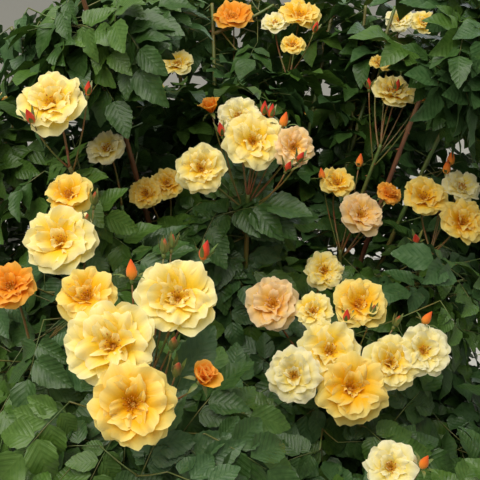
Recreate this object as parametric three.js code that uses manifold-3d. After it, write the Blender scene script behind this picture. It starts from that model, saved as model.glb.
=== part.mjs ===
// A garden shrub rose in full flower: a woody crown at ground level, nineteen arching canes, seven low side
// shoots, and a mass of twigs, leaves and double blooms at the end of each of them. Some canes end in leaves
// above their blooms.
// Millimetres, +Z up, origin at the middle of the flat cut at ground level. The side that is looked at is -Y.

import * as THREE from 'three';
import { mergeVertices } from 'three/addons/utils/BufferGeometryUtils.js';
import Module from 'manifold-3d';

const wasm = await Module();
wasm.setup();
const { Manifold } = wasm;

// Driving dimensions. A heading is in degrees, from +X towards +Y.
const CLEARANCE = 0.3;
const FUSE_TOLERANCE = 0.05;
const CROWN = { radius: 650, middle: 700, top: 1500, foot: 190, power: 4 };
const BASE = { flare: 50, neck: 34, neckHeight: 38, knuckle: 45, knuckleHeight: 72, height: 102, sides: 14 };
const BASE_LOBES = { count: 3, depth: 0.05 };
const CANE = { foot: 7.4, tip: 4.6, sides: 5, steps: 6, share: 0.48, kneeReach: 0.34, kneeHeight: 0.6 };
const FOOT_RING = { outer: 34, inner: 16, height: 62, turn: 0.3, reachOfOuter: 360 };
const SIDE_SHOOT = { count: 7, firstHeading: 15, reach: 520, height: 690, arch: 10, share: 0.5 };
const SIDE_LIMB = { foot: 4.8, tip: 3.6, sides: 5, steps: 2, start: 0.3, caneReach: 425 };
const STEM = { foot: 4.6, tip: 3.8, branchFoot: 3.8, branchTip: 3.6, steps: 3, branchSteps: 2 };
const TWIG = { foot: 1.7, tip: 1.5, first: [60, 230], second: [35, 80] };
const TWIG_RISE = { upper: [-0.45, 0.75], low: [-0.75, 0.6] };
const GROWTH = { leaves: 6, lowLeaves: 4, tries: 140, gap: 1, fromTwigs: 0.2, seed: 1000, seedStep: 77 };
const TWIG_ROOTS = { stem: [0.1, 0.9], leafyTip: [0.25, 0.97], twig: [0.1, 0.7] };
const LEAF = { stalk: 46, neck: 4, length: 78, width: 54, thickness: 1.8, fold: 5, pairAt: 0.5, pairAngle: 64 };
const PAIR = { length: 0.84, width: 0.88 };
const BLOOM = { petals: 8, depth: 0.5, ruffle: 0.16, throat: 0.42, sunk: 0.6, fullFrom: 78 };
const TRUSS = { stalk: 95, stalkRadius: 1.7, stalkStep: 9, spacing: 36, width: 84, dome: 160, lean: 0.88 };
const VIEW = { tilt: 25, dome: 0.6 };
const GOLDEN_ANGLE = Math.PI * (3 - Math.sqrt(5));

// Each cane by its flower heads, the first of which it leads to: the heading and reach from the foot, and the
// height above the ground. A list of blooms gives each one's place to the right and up, as the viewer sees it,
// and its width. A number of blooms is laid out by rule, and a head without any is a leafy tip.
const CANES = [
  { name: 'front_left', heads: [
    { heading: 257, reach: 501, height: 1164, blooms: [
      [50, 40, 89], [-45, 40, 67], [-15, -5, 95], [10, -60, 89]] }] },
  { name: 'front', heads: [{ heading: 291, reach: 480, height: 967, blooms: [[0, 0, 64]] }] },
  { name: 'front_right', heads: [
    { heading: 298, reach: 296, height: 1010, blooms: [
      [-95, 55, 81], [-40, 45, 55], [25, 55, 79], [-20, -5, 89],
      [-70, -35, 76], [5, -50, 95], [60, -20, 76], [105, -5, 72]] },
    { heading: 313, reach: 178, height: 1056, blooms: [[0, 0, 60]] }] },
  { name: 'centre', heads: [
    { heading: 276, reach: 126, height: 1254, blooms: [
      [5, -5, 86], [-15, 30, 64], [60, -15, 59], [-65, -45, 70]] },
    { heading: 214, reach: 146, height: 1160, blooms: [[15, 10, 50], [-15, -5, 50]] }] },
  { name: 'left_top', heads: [
    { heading: 224, reach: 317, height: 1332, blooms: [[0, 0, 88]] },
    { heading: 209, reach: 212, height: 1232, blooms: [[0, 0, 58]] }] },
  { name: 'left_middle', heads: [
    { heading: 235, reach: 368, height: 1207, blooms: [[5, 35, 61], [0, -20, 89]] },
    { heading: 234, reach: 446, height: 1154, blooms: [[0, 0, 62]] }] },
  { name: 'right_back', heads: [
    { heading: 27, reach: 280, height: 1252, blooms: [[0, 0, 81], [-15, 50, 45]] }] },
  { name: 'right', heads: [
    { heading: 1, reach: 326, height: 1107, blooms: [[-35, 10, 75], [20, -30, 78], [25, 25, 62]] },
    { heading: 2, reach: 179, height: 1114, blooms: [[-25, 25, 59], [10, -25, 75], [55, 5, 43]] }] },
  { name: 'back_top', heads: [
    { heading: 98, reach: 384, height: 1440, blooms: 0 },
    { heading: 92, reach: 332, height: 1336, blooms: [[0, 0, 75]] },
    { heading: 71, reach: 293, height: 1336, blooms: [[10, 15, 80], [-35, -5, 52], [-5, -50, 45]] },
    { heading: 111, reach: 316, height: 1258, blooms: [[0, 0, 61]] },
    { heading: 80, reach: 372, height: 1440, blooms: 0 }] },
  { name: 'back_right', heads: [
    { heading: 50, reach: 450, height: 1440, blooms: 0 },
    { heading: 47, reach: 450, height: 1327, blooms: [[-20, 0, 54], [25, -5, 54]] },
    { heading: 57, reach: 436, height: 1440, blooms: 0 }] },
  { name: 'left', heads: [
    { heading: 186, reach: 430, height: 1390, blooms: 0 },
    { heading: 192, reach: 530, height: 1110, blooms: 3 }] },
  { name: 'left_back', heads: [
    { heading: 153, reach: 440, height: 1430, blooms: 0 },
    { heading: 150, reach: 520, height: 1190, blooms: 2 }] },
  { name: 'back', heads: [
    { heading: 108, reach: 430, height: 1455, blooms: 0 },
    { heading: 114, reach: 570, height: 1170, blooms: 3 }] },
  { name: 'back_low', heads: [
    { heading: 66, reach: 460, height: 1450, blooms: 0 },
    { heading: 79, reach: 580, height: 1110, blooms: 2 }] },
  { name: 'right_far', heads: [
    { heading: 22, reach: 460, height: 1420, blooms: 0 },
    { heading: 20, reach: 570, height: 1120, blooms: 3 }] },
  { name: 'tall_left', heads: [{ heading: 203, reach: 245, height: 1540, blooms: 0 }] },
  { name: 'tall_right', heads: [{ heading: 16, reach: 380, height: 1520, blooms: 0 }] },
  { name: 'right_front', heads: [{ heading: 327, reach: 545, height: 980, blooms: 3 }] },
  { name: 'front_far_left', heads: [{ heading: 216, reach: 560, height: 940, blooms: 2 }] },
];

const bark = new THREE.MeshStandardMaterial({ color: 0x6b5a45, roughness: 0.9, metalness: 0 });
const caneSkin = new THREE.MeshStandardMaterial({ color: 0x6d5a32, roughness: 0.6, metalness: 0 });
const foliage = new THREE.MeshStandardMaterial({ color: 0x2f4a2a, roughness: 0.5, metalness: 0 });

const UP = new THREE.Vector3(0, 0, 1);
const vec = (x, y, z) => new THREE.Vector3(x, y, z);
const radians = THREE.MathUtils.degToRad;

// A repeatable stream of numbers from 0 to 1.
function seeded(seed) {
  let state = seed;
  return () => (state = (state * 16807) % 2147483647) / 2147483647;
}

// The point at a heading, a reach and a height, and the level direction of a heading.
const level = (heading) => vec(Math.cos(heading), Math.sin(heading), 0);
const place = (heading, reach, height) => level(heading).multiplyScalar(reach).setZ(height);

// A closed three.js geometry as a solid.
function solid(geometry) {
  const bare = geometry.clone();
  bare.deleteAttribute('normal');
  bare.deleteAttribute('uv');
  const merged = mergeVertices(bare, 1e-3);
  return new Manifold(new wasm.Mesh({
    numProp: 3,
    vertProperties: new Float32Array(merged.attributes.position.array),
    triVerts: new Uint32Array(merged.index.array),
  }));
}

// A solid as a named mesh. Fusing can leave a scrap or a sealed hollow, and the largest body is without them.
function meshOf(name, made, material) {
  const body = made.simplify(FUSE_TOLERANCE).decompose().sort((a, b) => b.volume() - a.volume())[0];
  const { vertProperties, triVerts } = body.getMesh();
  const geometry = new THREE.BufferGeometry();
  geometry.setAttribute('position', new THREE.BufferAttribute(new Float32Array(vertProperties), 3));
  geometry.setIndex(new THREE.BufferAttribute(new Uint32Array(triVerts), 1));
  geometry.computeVertexNormals();
  const mesh = new THREE.Mesh(geometry, material);
  mesh.name = name;
  return mesh;
}

// A tapering limb: a cylinder bent along a stretch of a curve, wider all round by the margin.
function limb(curve, from, to, footRadius, tipRadius, sides, steps, margin = 0) {
  const tube = new THREE.CylinderGeometry(1, 1, 1, sides, steps);
  const position = tube.attributes.position;
  const across = curve.getTangent((from + to) / 2).cross(vec(0.31, 0.17, 0.94)).normalize();
  for (let i = 0; i < position.count; i += 1) {
    const along = 0.5 - position.getY(i);
    const t = from + (to - from) * along;
    const radius = THREE.MathUtils.lerp(footRadius, tipRadius, along) + margin;
    const tangent = curve.getTangent(t);
    const side = across.clone().addScaledVector(tangent, -across.dot(tangent)).normalize();
    const third = vec(0, 0, 0).crossVectors(tangent, side);
    const point = curve.getPoint(t)
      .addScaledVector(side, position.getX(i) * radius)
      .addScaledVector(third, position.getZ(i) * radius);
    position.setXYZ(i, point.x, point.y, point.z);
  }
  return solid(tube);
}

// The woody crown: a lathed profile from the root flare to the knuckle, with shallow lobes round it.
function woodyBase(margin = 0) {
  const profile = [
    [0, -margin], [BASE.flare, -margin], [BASE.flare - 5, 12], [BASE.neck, BASE.neckHeight],
    [BASE.knuckle - 3, BASE.knuckleHeight - 14], [BASE.knuckle, BASE.knuckleHeight],
    [BASE.knuckle - 8, BASE.height - 11], [BASE.knuckle * 0.5, BASE.height], [0, BASE.height],
  ];
  const points = profile.map(([r, z]) => (
    new THREE.Vector2(r ? r + margin : 0, z > BASE.knuckleHeight ? z + margin : z)));
  const lathe = new THREE.LatheGeometry(points, BASE.sides).rotateX(Math.PI / 2);
  const position = lathe.attributes.position;
  for (let i = 0; i < position.count; i += 1) {
    const heading = Math.atan2(position.getY(i), position.getX(i));
    const swell = 1 + BASE_LOBES.depth * Math.sin(BASE_LOBES.count * heading);
    position.setXYZ(i, position.getX(i) * swell, position.getY(i) * swell, position.getZ(i));
  }
  return solid(lathe);
}

// The canes' curves. Their feet stand evenly round the knuckle, in two rings, in the order of their headings.
function caneCurves() {
  const curves = new Map();
  for (const ring of ['outer', 'inner']) {
    const members = CANES
      .filter(({ heads }) => (heads[0].reach > FOOT_RING.reachOfOuter) === (ring === 'outer'))
      .sort((a, b) => a.heads[0].heading - b.heads[0].heading);
    members.forEach(({ name, heads: [head] }, rank) => {
      const heading = radians(head.heading);
      const turn = (rank / members.length) * 2 * Math.PI + FOOT_RING.turn;
      const foot = place(turn, FOOT_RING[ring], FOOT_RING.height);
      const knee = place(heading, head.reach * CANE.kneeReach, head.height * CANE.kneeHeight)
        .addScaledVector(foot.clone().setZ(0), 0.6);
      curves.set(name, new THREE.QuadraticBezierCurve3(foot, knee, trussFoot(head)));
    });
  }
  return curves;
}

// The way a flower head faces, and the point below it where its stalks part.
const outward = ({ heading }) => level(radians(heading)).multiplyScalar(TRUSS.lean).add(UP).normalize();
function trussFoot(head) {
  const under = outward(head).multiplyScalar(0.35).add(vec(0, 0, 0.9)).normalize();
  return place(radians(head.heading), head.reach, head.height).addScaledVector(under, -TRUSS.stalk);
}

// The middle and width of each bloom of a flower head.
function bloomsOf(head) {
  const middle = place(radians(head.heading), head.reach, head.height);
  if (Array.isArray(head.blooms)) {
    const tilt = radians(VIEW.tilt);
    const up = vec(0, Math.sin(tilt), Math.cos(tilt));
    const near = vec(0, -Math.cos(tilt), Math.sin(tilt));
    return head.blooms.map(([right, rise, width]) => ({
      middle: middle.clone().add(vec(right, 0, 0))
        .addScaledVector(up, rise).addScaledVector(near, -rise * VIEW.dome),
      width,
    }));
  }
  const axis = outward(head);
  const side = vec(0, 0, 0).crossVectors(UP, axis).normalize();
  const top = vec(0, 0, 0).crossVectors(axis, side);
  return Array.from({ length: head.blooms }, (_, k) => {
    const turn = k * GOLDEN_ANGLE + head.heading;
    const off = TRUSS.spacing * Math.sqrt(k + 0.6);
    return {
      middle: middle.clone().addScaledVector(side, off * Math.cos(turn))
        .addScaledVector(top, off * Math.sin(turn)).addScaledVector(axis, -(off * off) / TRUSS.dome),
      width: TRUSS.width * (1 - 0.07 * k),
    };
  });
}

// A solid from its corners and faces.
function facets(points, faces) {
  const geometry = new THREE.BufferGeometry().setFromPoints(points);
  geometry.setIndex(faces.flat());
  return solid(geometry);
}

// A ring of corners round a point, across an axis and turned by the direction of its side.
function ringAt(centre, axis, side, corners, radiusOf, riseOf = () => 0) {
  const way = axis.clone().normalize();
  const across = side.clone().addScaledVector(way, -way.dot(side)).normalize();
  const face = vec(0, 0, 0).crossVectors(way, across);
  return Array.from({ length: corners }, (_, k) => {
    const angle = (k / corners) * 2 * Math.PI;
    return centre.clone().addScaledVector(way, riseOf(k))
      .addScaledVector(face, radiusOf(k) * Math.cos(angle))
      .addScaledVector(across, -radiusOf(k) * Math.sin(angle));
  });
}

// The faces between two rings of any numbers of corners, given by the index of their first corner.
function bridge(near, nearCount, far, farCount) {
  const faces = [];
  for (let i = 0, k = 0; i < nearCount || k < farCount;) {
    const a = near + (i % nearCount);
    const b = far + (k % farCount);
    if (k >= farCount || (i < nearCount && (i + 0.5) / nearCount < (k + 0.5) / farCount)) {
      faces.push([a, near + ((i + 1) % nearCount), b]);
      i += 1;
    } else {
      faces.push([a, far + ((k + 1) % farCount), b]);
      k += 1;
    }
  }
  return faces;
}

// A double bloom on its stalk: a cup with a rim that rises and falls from petal to petal, and a raised ring
// round a sunken throat. A small bloom, still opening, goes without the ring.
function bloomOnStalk(root, middle, width, facing) {
  const depth = width * BLOOM.depth;
  const full = width > BLOOM.fullFrom;
  const wave = (k) => (k % 2 ? 1 : -1);
  const bottom = middle.clone().addScaledVector(facing, -depth * BLOOM.sunk);
  const side = vec(1, 0.2, 0);
  const stalkRadius = () => TRUSS.stalkRadius;
  const rimRadius = (k) => (width / 2) * (1 - (BLOOM.ruffle * (wave(k) + 1)) / 2);
  const throatRadius = () => (width / 2) * BLOOM.throat;
  const points = [
    ...ringAt(root, bottom.clone().sub(root), side, 3, stalkRadius),
    ...ringAt(bottom, facing, side, 3, stalkRadius),
    ...ringAt(middle, facing, side, BLOOM.petals, rimRadius, (k) => depth * 0.12 * wave(k)),
    ...(full ? ringAt(middle, facing, side, BLOOM.petals, throatRadius, () => depth * 0.42) : []),
    middle.clone().addScaledVector(facing, depth * (full ? 0.1 : 0.3)),
  ];
  const rim = 6;
  const throat = full ? rim + BLOOM.petals : rim;
  const faces = [[2, 1, 0], ...bridge(0, 3, 3, 3), ...bridge(3, 3, rim, BLOOM.petals)];
  if (full) faces.push(...bridge(rim, BLOOM.petals, throat, BLOOM.petals));
  for (let k = 0; k < BLOOM.petals; k += 1) {
    faces.push([points.length - 1, throat + k, throat + ((k + 1) % BLOOM.petals)]);
  }
  return facets(points, faces);
}

// The faces of a leaflet on the side of a stalk, out of the strip between the stalk's ridge and its lower edge.
// The leaflet's own corners are its front, back, top, bottom and tip.
function sideLeaflet(ridge, edge, front, turned) {
  const [back, top, bottom, tip] = [front + 1, front + 2, front + 3, front + 4];
  const faces = [
    [ridge, top, back], [ridge, ridge + 3, top], [ridge + 3, front, top], [back, top, tip], [top, front, tip],
    [edge, back, bottom], [edge, bottom, edge + 3], [edge + 3, bottom, front], [back, tip, bottom],
    [bottom, tip, front], [ridge, back, edge], [ridge + 3, edge + 3, front],
  ];
  return turned ? faces.map(([p, q, r]) => [p, r, q]) : faces;
}

// A rose leaf at the tip of its twig, in one closed surface: three-sided twig and stalk, a pair of leaflets
// half way along the stalk and one at its end, each folded along its rib.
function leafOnTwig(root, tip, direction, normal, size) {
  const side = vec(0, 0, 0).crossVectors(normal, direction).normalize();
  const face = vec(0, 0, 0).crossVectors(direction, side);
  const along = (distance) => tip.clone().addScaledVector(direction, distance);
  const blade = (start, angle, length, width) => {
    const way = direction.clone().applyAxisAngle(face, radians(angle));
    const across = vec(0, 0, 0).crossVectors(face, way).multiplyScalar(angle > 0 ? -1 : 1);
    const at = (far, out, rise) => start.clone().addScaledVector(way, far * length * size)
      .addScaledVector(across, out * width * size).addScaledVector(face, rise);
    return [at(0.42, 0.5, LEAF.fold), at(0.42, -0.5, LEAF.fold), at(0.45, 0, LEAF.thickness / 2),
      at(0.45, 0, -LEAF.thickness / 2), at(1, 0, -LEAF.fold)];
  };
  const ring = (centre, way, radius = TWIG.tip) => ringAt(centre, way, side, 3, () => radius);
  const twig = tip.clone().sub(root);
  const stalk = LEAF.stalk * size;
  const pair = stalk * LEAF.pairAt;
  const points = [
    ...ring(root, twig, TWIG.foot),
    ...ring(tip, twig.clone().normalize().add(direction)),
    ...ring(along(pair - LEAF.neck / 2), direction),
    ...ring(along(pair + LEAF.neck / 2), direction),
    ...ring(along(stalk), direction),
    ...blade(along(stalk), 0, LEAF.length, LEAF.width),
    ...blade(along(pair), LEAF.pairAngle, LEAF.length * PAIR.length, LEAF.width * PAIR.width),
    ...blade(along(pair), -LEAF.pairAngle, LEAF.length * PAIR.length, LEAF.width * PAIR.width),
  ];
  return facets(points, [
    [2, 1, 0], ...bridge(0, 3, 3, 3), ...bridge(3, 3, 6, 3), [7, 8, 11], [7, 11, 10], ...bridge(9, 3, 12, 3),
    [12, 15, 14], [12, 17, 15], [12, 16, 17], [12, 13, 16], [14, 15, 18], [14, 18, 13], [13, 18, 16],
    [19, 15, 17], [19, 17, 16], [19, 18, 15], [19, 16, 18],
    ...sideLeaflet(6, 8, 20, false), ...sideLeaflet(6, 7, 25, true),
  ]);
}

// Whether a point is inside the crown's outline, a dome on a bowl.
function inCrown(point) {
  const span = point.z > CROWN.middle ? CROWN.top - CROWN.middle : CROWN.middle - CROWN.foot;
  const rise = Math.abs(point.z - CROWN.middle) / span;
  return (Math.hypot(point.x, point.y) / CROWN.radius) ** CROWN.power + rise ** CROWN.power < 1;
}

// The distance of a point from a skeleton, a list of balls.
const distanceTo = (skeleton, point) => (
  skeleton.reduce((least, [centre, radius]) => Math.min(least, centre.distanceTo(point) - radius), Infinity));

// Whether a point lies in a mass's own space: nearer to its skeleton than to any other mass's.
const inSpace = (point, own, skeletons) => {
  const near = distanceTo(own, point);
  return skeletons.every((other) => other === own || distanceTo(other, point) > near);
};

// Whether the whole of a piece is inside the crown: its corners are tested.
function isInCrown(piece) {
  const { vertProperties } = piece.getMesh();
  for (let i = 0; i < vertProperties.length; i += 3) {
    if (!inCrown(vec(...vertProperties.subarray(i, i + 3)))) return false;
  }
  return true;
}

// The parts of a mass that are set: its stem, and its flower heads with their stalks. Later heads branch off
// the stem part way up it. The skeleton goes along with them.
function frameOf({ stem, from, heads }) {
  const roots = heads[0].blooms ? TWIG_ROOTS.stem : TWIG_ROOTS.leafyTip;
  const made = limb(stem, from, 1, STEM.foot, STEM.tip, 3, STEM.steps);
  const carriers = [{ curve: stem, from, roots, made }];
  const blooms = [];
  const skeleton = [];
  heads.forEach((head, rank) => {
    const foot = trussFoot(head);
    if (rank > 0) {
      const root = stem.getPoint(from + (1 - from) * (0.1 + 0.2 * rank));
      const bend = root.clone().lerp(foot, 0.6).setZ(root.z * 0.55 + foot.z * 0.45);
      const curve = new THREE.QuadraticBezierCurve3(root, bend, foot);
      const branch = limb(curve, 0, 1, STEM.branchFoot, STEM.branchTip, 3, STEM.branchSteps);
      carriers.push({ curve, from: 0, roots: TWIG_ROOTS.stem, made: branch });
    }
    const { curve } = carriers[rank];
    bloomsOf(head).forEach(({ middle, width }, order) => {
      const facing = middle.clone().sub(foot).normalize().add(outward(head)).normalize();
      const root = curve.getPointAt(1 - (order * TRUSS.stalkStep + 1) / curve.getLength());
      blooms.push(bloomOnStalk(root, middle, width, facing));
      skeleton.push([middle, width / 2], [root.lerp(middle, 0.5), 0]);
    });
  });
  for (const { curve, from: start } of carriers) {
    for (let k = 0; k <= 10; k += 1) skeleton.push([curve.getPoint(start + ((1 - start) * k) / 10), 0]);
  }
  return { carriers, blooms, skeleton };
}

// The twigs and leaves of a mass, by the seeded rule: a twig leaves the stem, a branch or an earlier twig,
// further round by the golden angle, rises as it goes and ends in a leaf. What has its middle outside the
// mass's space, leaves the crown, or comes too near to a limb, a bloom, another mass or an earlier leaf is
// skipped.
function grow({ carriers, rise, leaves, seed, skeleton }, skeletons, others) {
  const random = seeded(seed);
  const between = (low, high) => low + (high - low) * random();
  const grown = [];
  for (let k = 0; k < GROWTH.tries && grown.length < leaves; k += 1) {
    const second = grown.length > 1 && random() < GROWTH.fromTwigs;
    const choices = second ? grown : carriers;
    const carrier = choices[Math.floor(random() * choices.length)];
    const root = carrier.curve.getPoint(carrier.from + (1 - carrier.from) * between(...carrier.roots));
    const length = between(...(second ? TWIG.second : TWIG.first));
    const out = level(seed + k * GOLDEN_ANGLE);
    const tip = root.clone().addScaledVector(out, length).addScaledVector(UP, length * between(...rise));
    const direction = tip.clone().sub(root).normalize();
    const droop = direction.z * 0.7 + between(-0.1, 0.5);
    direction.add(vec(between(-0.4, 0.4), between(-0.4, 0.4), -droop)).normalize();
    const normal = level(Math.atan2(tip.y, tip.x)).multiplyScalar(between(0.3, 1.4))
      .add(vec(between(-0.4, 0.4), between(-0.4, 0.4), 0.8)).normalize();
    const size = between(0.85, 1.15);
    const leaf = leafOnTwig(root, tip, direction, normal, size);
    if (inSpace(tip.clone().addScaledVector(direction, LEAF.stalk * size), skeleton, skeletons)
      && isInCrown(leaf) && others.minGap(leaf, GROWTH.gap * 2) > GROWTH.gap
      && [...carriers, ...grown].every((other) => other === carrier || other.made.intersect(leaf).isEmpty())) {
      grown.push({ curve: new THREE.LineCurve3(root, tip), from: 0, roots: TWIG_ROOTS.twig, made: leaf });
    }
  }
  return grown.map(({ made }) => made);
}

const rose = new THREE.Group();
rose.name = 'rose_bush';
rose.add(meshOf('woody_base', woodyBase(), bark));

// The canes, each cut clear of the woody base.
const curves = caneCurves();
const cutter = woodyBase(CLEARANCE);
const shoots = [];
const limbs = [];
for (const { name, heads } of CANES) {
  const curve = curves.get(name);
  const sizes = [CANE.foot, CANE.tip, CANE.sides, CANE.steps];
  rose.add(meshOf(`cane_${name}`, limb(curve, 0, CANE.share, ...sizes).subtract(cutter), caneSkin));
  limbs.push(limb(curve, 0, CANE.share, ...sizes, CLEARANCE * 2));
  shoots.push({ name, heads, stem: curve, share: CANE.share, rise: TWIG_RISE.upper, leaves: GROWTH.leaves });
}

// The side shoots, each on the cane that stands nearest to its heading, cut clear of it.
for (let k = 0; k < SIDE_SHOOT.count; k += 1) {
  const heading = SIDE_SHOOT.firstHeading + (k * 360) / SIDE_SHOOT.count;
  const away = ({ heads: [head] }) => Math.abs(((head.heading - heading + 540) % 360) - 180);
  const carriers = CANES.filter(({ heads: [head] }) => head.reach > SIDE_LIMB.caneReach);
  const cane = curves.get(carriers.sort((a, b) => away(a) - away(b))[0].name);
  const head = { heading, reach: SIDE_SHOOT.reach, height: SIDE_SHOOT.height, blooms: 1 + (k % 2) };
  const root = cane.getPoint(SIDE_LIMB.start);
  const tip = trussFoot(head);
  const bend = root.clone().lerp(tip, 0.5).addScaledVector(UP, SIDE_SHOOT.arch);
  const curve = new THREE.QuadraticBezierCurve3(root, bend, tip);
  const caneWide = limb(cane, 0, CANE.share, CANE.foot, CANE.tip, CANE.sides, CANE.steps, CLEARANCE);
  const sizes = [SIDE_LIMB.foot, SIDE_LIMB.tip, SIDE_LIMB.sides, SIDE_LIMB.steps];
  const shootBody = limb(curve, 0, SIDE_SHOOT.share, ...sizes).subtract(caneWide);
  rose.add(meshOf(`side_shoot_${k + 1}`, shootBody, caneSkin));
  limbs.push(limb(curve, 0, SIDE_SHOOT.share, ...sizes, CLEARANCE * 2));
  shoots.push({
    name: `low_${k + 1}`, heads: [head], stem: curve, share: SIDE_SHOOT.share, rise: TWIG_RISE.low,
    leaves: GROWTH.lowLeaves,
  });
}

// The masses, each on the end of its cane or side shoot.
for (const shoot of shoots) {
  shoot.from = shoot.share + CLEARANCE / shoot.stem.getLength();
  Object.assign(shoot, frameOf(shoot));
}
const skeletons = shoots.map(({ skeleton }) => skeleton);
const frames = shoots.map(({ carriers, blooms }) => (
  Manifold.union([...carriers.map(({ made }) => made), ...blooms])));
const allGrown = [];
shoots.forEach((shoot, rank) => {
  const neighbours = frames.filter((made) => made !== frames[rank]);
  const others = Manifold.union([...limbs, ...shoot.blooms, ...allGrown, ...neighbours]);
  const seed = GROWTH.seed + rank * GROWTH.seedStep;
  const grown = grow({ ...shoot, seed }, skeletons, others);
  allGrown.push(...grown);
  rose.add(meshOf(`mass_${shoot.name}`, Manifold.union([frames[rank], ...grown]), foliage));
});

export default rose;
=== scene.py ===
# %% [markdown]
# A shrub rose in full flower, seen from in front and a little above. The solids give the woody foot, the
# canes and the place of each mass of growth. This script dresses them: bark on the wood, and in each mass
# the twigs, leaves, blooms and buds, which grow on from the cane by the rule that the solids follow too.
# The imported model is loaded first. Its lowest and highest corner are kept, because what grows is tested
# against them: the dressed plant may reach past the solids by a few millimetres at the most.

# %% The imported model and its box
import math

import bpy
import numpy as np
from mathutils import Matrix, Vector, noise


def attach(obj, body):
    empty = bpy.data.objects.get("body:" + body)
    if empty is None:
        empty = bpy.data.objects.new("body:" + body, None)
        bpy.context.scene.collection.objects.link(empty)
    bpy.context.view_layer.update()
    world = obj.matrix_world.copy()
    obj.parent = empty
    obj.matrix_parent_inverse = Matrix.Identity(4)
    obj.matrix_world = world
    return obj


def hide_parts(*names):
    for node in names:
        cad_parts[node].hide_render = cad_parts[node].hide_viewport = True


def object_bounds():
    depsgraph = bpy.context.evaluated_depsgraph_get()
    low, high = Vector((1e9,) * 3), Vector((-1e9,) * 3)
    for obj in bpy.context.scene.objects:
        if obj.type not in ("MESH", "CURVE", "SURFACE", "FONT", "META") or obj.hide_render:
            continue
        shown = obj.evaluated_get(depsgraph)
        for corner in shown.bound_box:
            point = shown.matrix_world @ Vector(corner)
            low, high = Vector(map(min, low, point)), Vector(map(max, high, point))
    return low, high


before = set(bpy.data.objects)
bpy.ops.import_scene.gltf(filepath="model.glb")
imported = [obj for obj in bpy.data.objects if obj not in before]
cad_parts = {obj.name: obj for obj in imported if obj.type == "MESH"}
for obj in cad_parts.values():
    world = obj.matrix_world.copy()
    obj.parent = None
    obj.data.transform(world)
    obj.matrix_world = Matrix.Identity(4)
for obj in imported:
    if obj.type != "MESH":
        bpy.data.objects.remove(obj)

MM = 0.001
cad_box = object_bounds()
BOX_LOW, BOX_HIGH = (np.array(corner) / MM for corner in cad_box)
print("solids:", len(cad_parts), "box in mm:", BOX_LOW.round(), BOX_HIGH.round())

# %% [markdown]
# Everything below is worked out in millimetres and turned to metres when a mesh is made. A few small
# tools come first: a repeatable stream of numbers, a unit vector, tubes round lines, and a heap.
# Thousands of leaflets would be slow as objects of their own, so each kind is gathered in a heap of plain
# arrays that becomes one mesh at the end.

# %% Numbers, vectors and heaps of faces
UP = np.array([0.0, 0.0, 1.0])
TAU = 2 * math.pi
GOLDEN_ANGLE = math.pi * (3 - math.sqrt(5))


def seeded(seed):
    """A repeatable stream of numbers from 0 to 1."""
    state = seed

    def draw():
        nonlocal state
        state = state * 16807 % 2147483647
        return state / 2147483647

    return draw


def unit(vectors):
    vectors = np.asarray(vectors, float)
    return vectors / np.maximum(np.linalg.norm(vectors, axis=-1, keepdims=True), 1e-9)


def level(heading):
    """The level direction of a heading in radians."""
    return np.array([math.cos(heading), math.sin(heading), 0.0])


def turns(count):
    """Even angles all round, in radians."""
    return np.arange(count) / count * TAU


class Heap:
    """The corners and faces of one kind of thing, gathered from many copies."""

    def __init__(self):
        self.points, self.uvs, self.faces, self.count = [], [], [], 0

    def add(self, points, faces, uv=None):
        """Points are (copies, corners, 3). Faces, in groups of one size, and uv are those of one copy."""
        copies, corners = points.shape[:2]
        if not copies:
            return
        self.points.append(points.reshape(-1, 3))
        uv = np.zeros((corners, 2)) if uv is None else uv
        self.uvs.append(np.broadcast_to(uv, (copies, corners, 2)).reshape(-1, 2))
        starts = (self.count + np.arange(copies) * corners)[:, None, None]
        self.faces += [(starts + group).reshape(-1, group.shape[1]) for group in faces if len(group)]
        self.count += copies * corners


def triangle_count(heap):
    return sum(len(group) * (group.shape[1] - 2) for group in heap.faces)


def grid_faces(rows, columns, closed=False):
    """Four-sided faces between the rows of a grid. A closed one joins its last column to its first."""
    row, column = np.meshgrid(np.arange(rows - 1), np.arange(columns - (not closed)), indexing="ij")
    here, there = row * columns + column, row * columns + (column + 1) % columns
    return np.stack([here, there, there + columns, here + columns], -1).reshape(-1, 4)


def tube_faces(rows, sides):
    """The faces of a tube of rings, closed at both ends."""
    k = np.arange(1, sides - 1)
    first, last = np.zeros_like(k), np.full_like(k, (rows - 1) * sides)
    ends = [np.stack([first, k + 1, k], -1), np.stack([last, last + k, last + k + 1], -1)]
    return [grid_faces(rows, sides, True), np.concatenate(ends)]


def tubes(lines, radii, sides):
    """Rings round many centrelines at once: lines is (copies, rows, 3) and radii (copies, rows)."""
    tangent = unit(np.gradient(lines, axis=1))
    steep = np.abs(unit(tangent.mean(axis=1, keepdims=True))[..., 2:]) > 0.9
    side = unit(np.cross(tangent, np.where(steep, [1.0, 0.0, 0.0], UP)))
    third = np.cross(tangent, side)
    turn = turns(sides)
    ring = np.cos(turn)[:, None] * side[:, :, None] + np.sin(turn)[:, None] * third[:, :, None]
    return lines[:, :, None] + radii[:, :, None, None] * ring


def add_tubes(heap, lines, radii, sides):
    lines, radii = np.asarray(lines, float), np.asarray(radii, float)
    rows = lines.shape[1]
    heap.add(tubes(lines, radii, sides).reshape(len(lines), rows * sides, 3), tube_faces(rows, sides))


# %% [markdown]
# A heap becomes an object with one call. The points are turned to metres, the faces go in as flat arrays,
# and the object rides on the plant's one body. The texture map has a fixed name and lies on itself for
# every leaflet or petal: all of them share one small picture square, which keeps veins and petal colours
# in place.

# %% From a heap to an object
MASSES = sorted(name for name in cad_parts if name.startswith("mass_"))
CANE_NODES = sorted(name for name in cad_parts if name.startswith(("cane_", "side_shoot_")))
STACKED_MAP = "OFBake"


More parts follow.
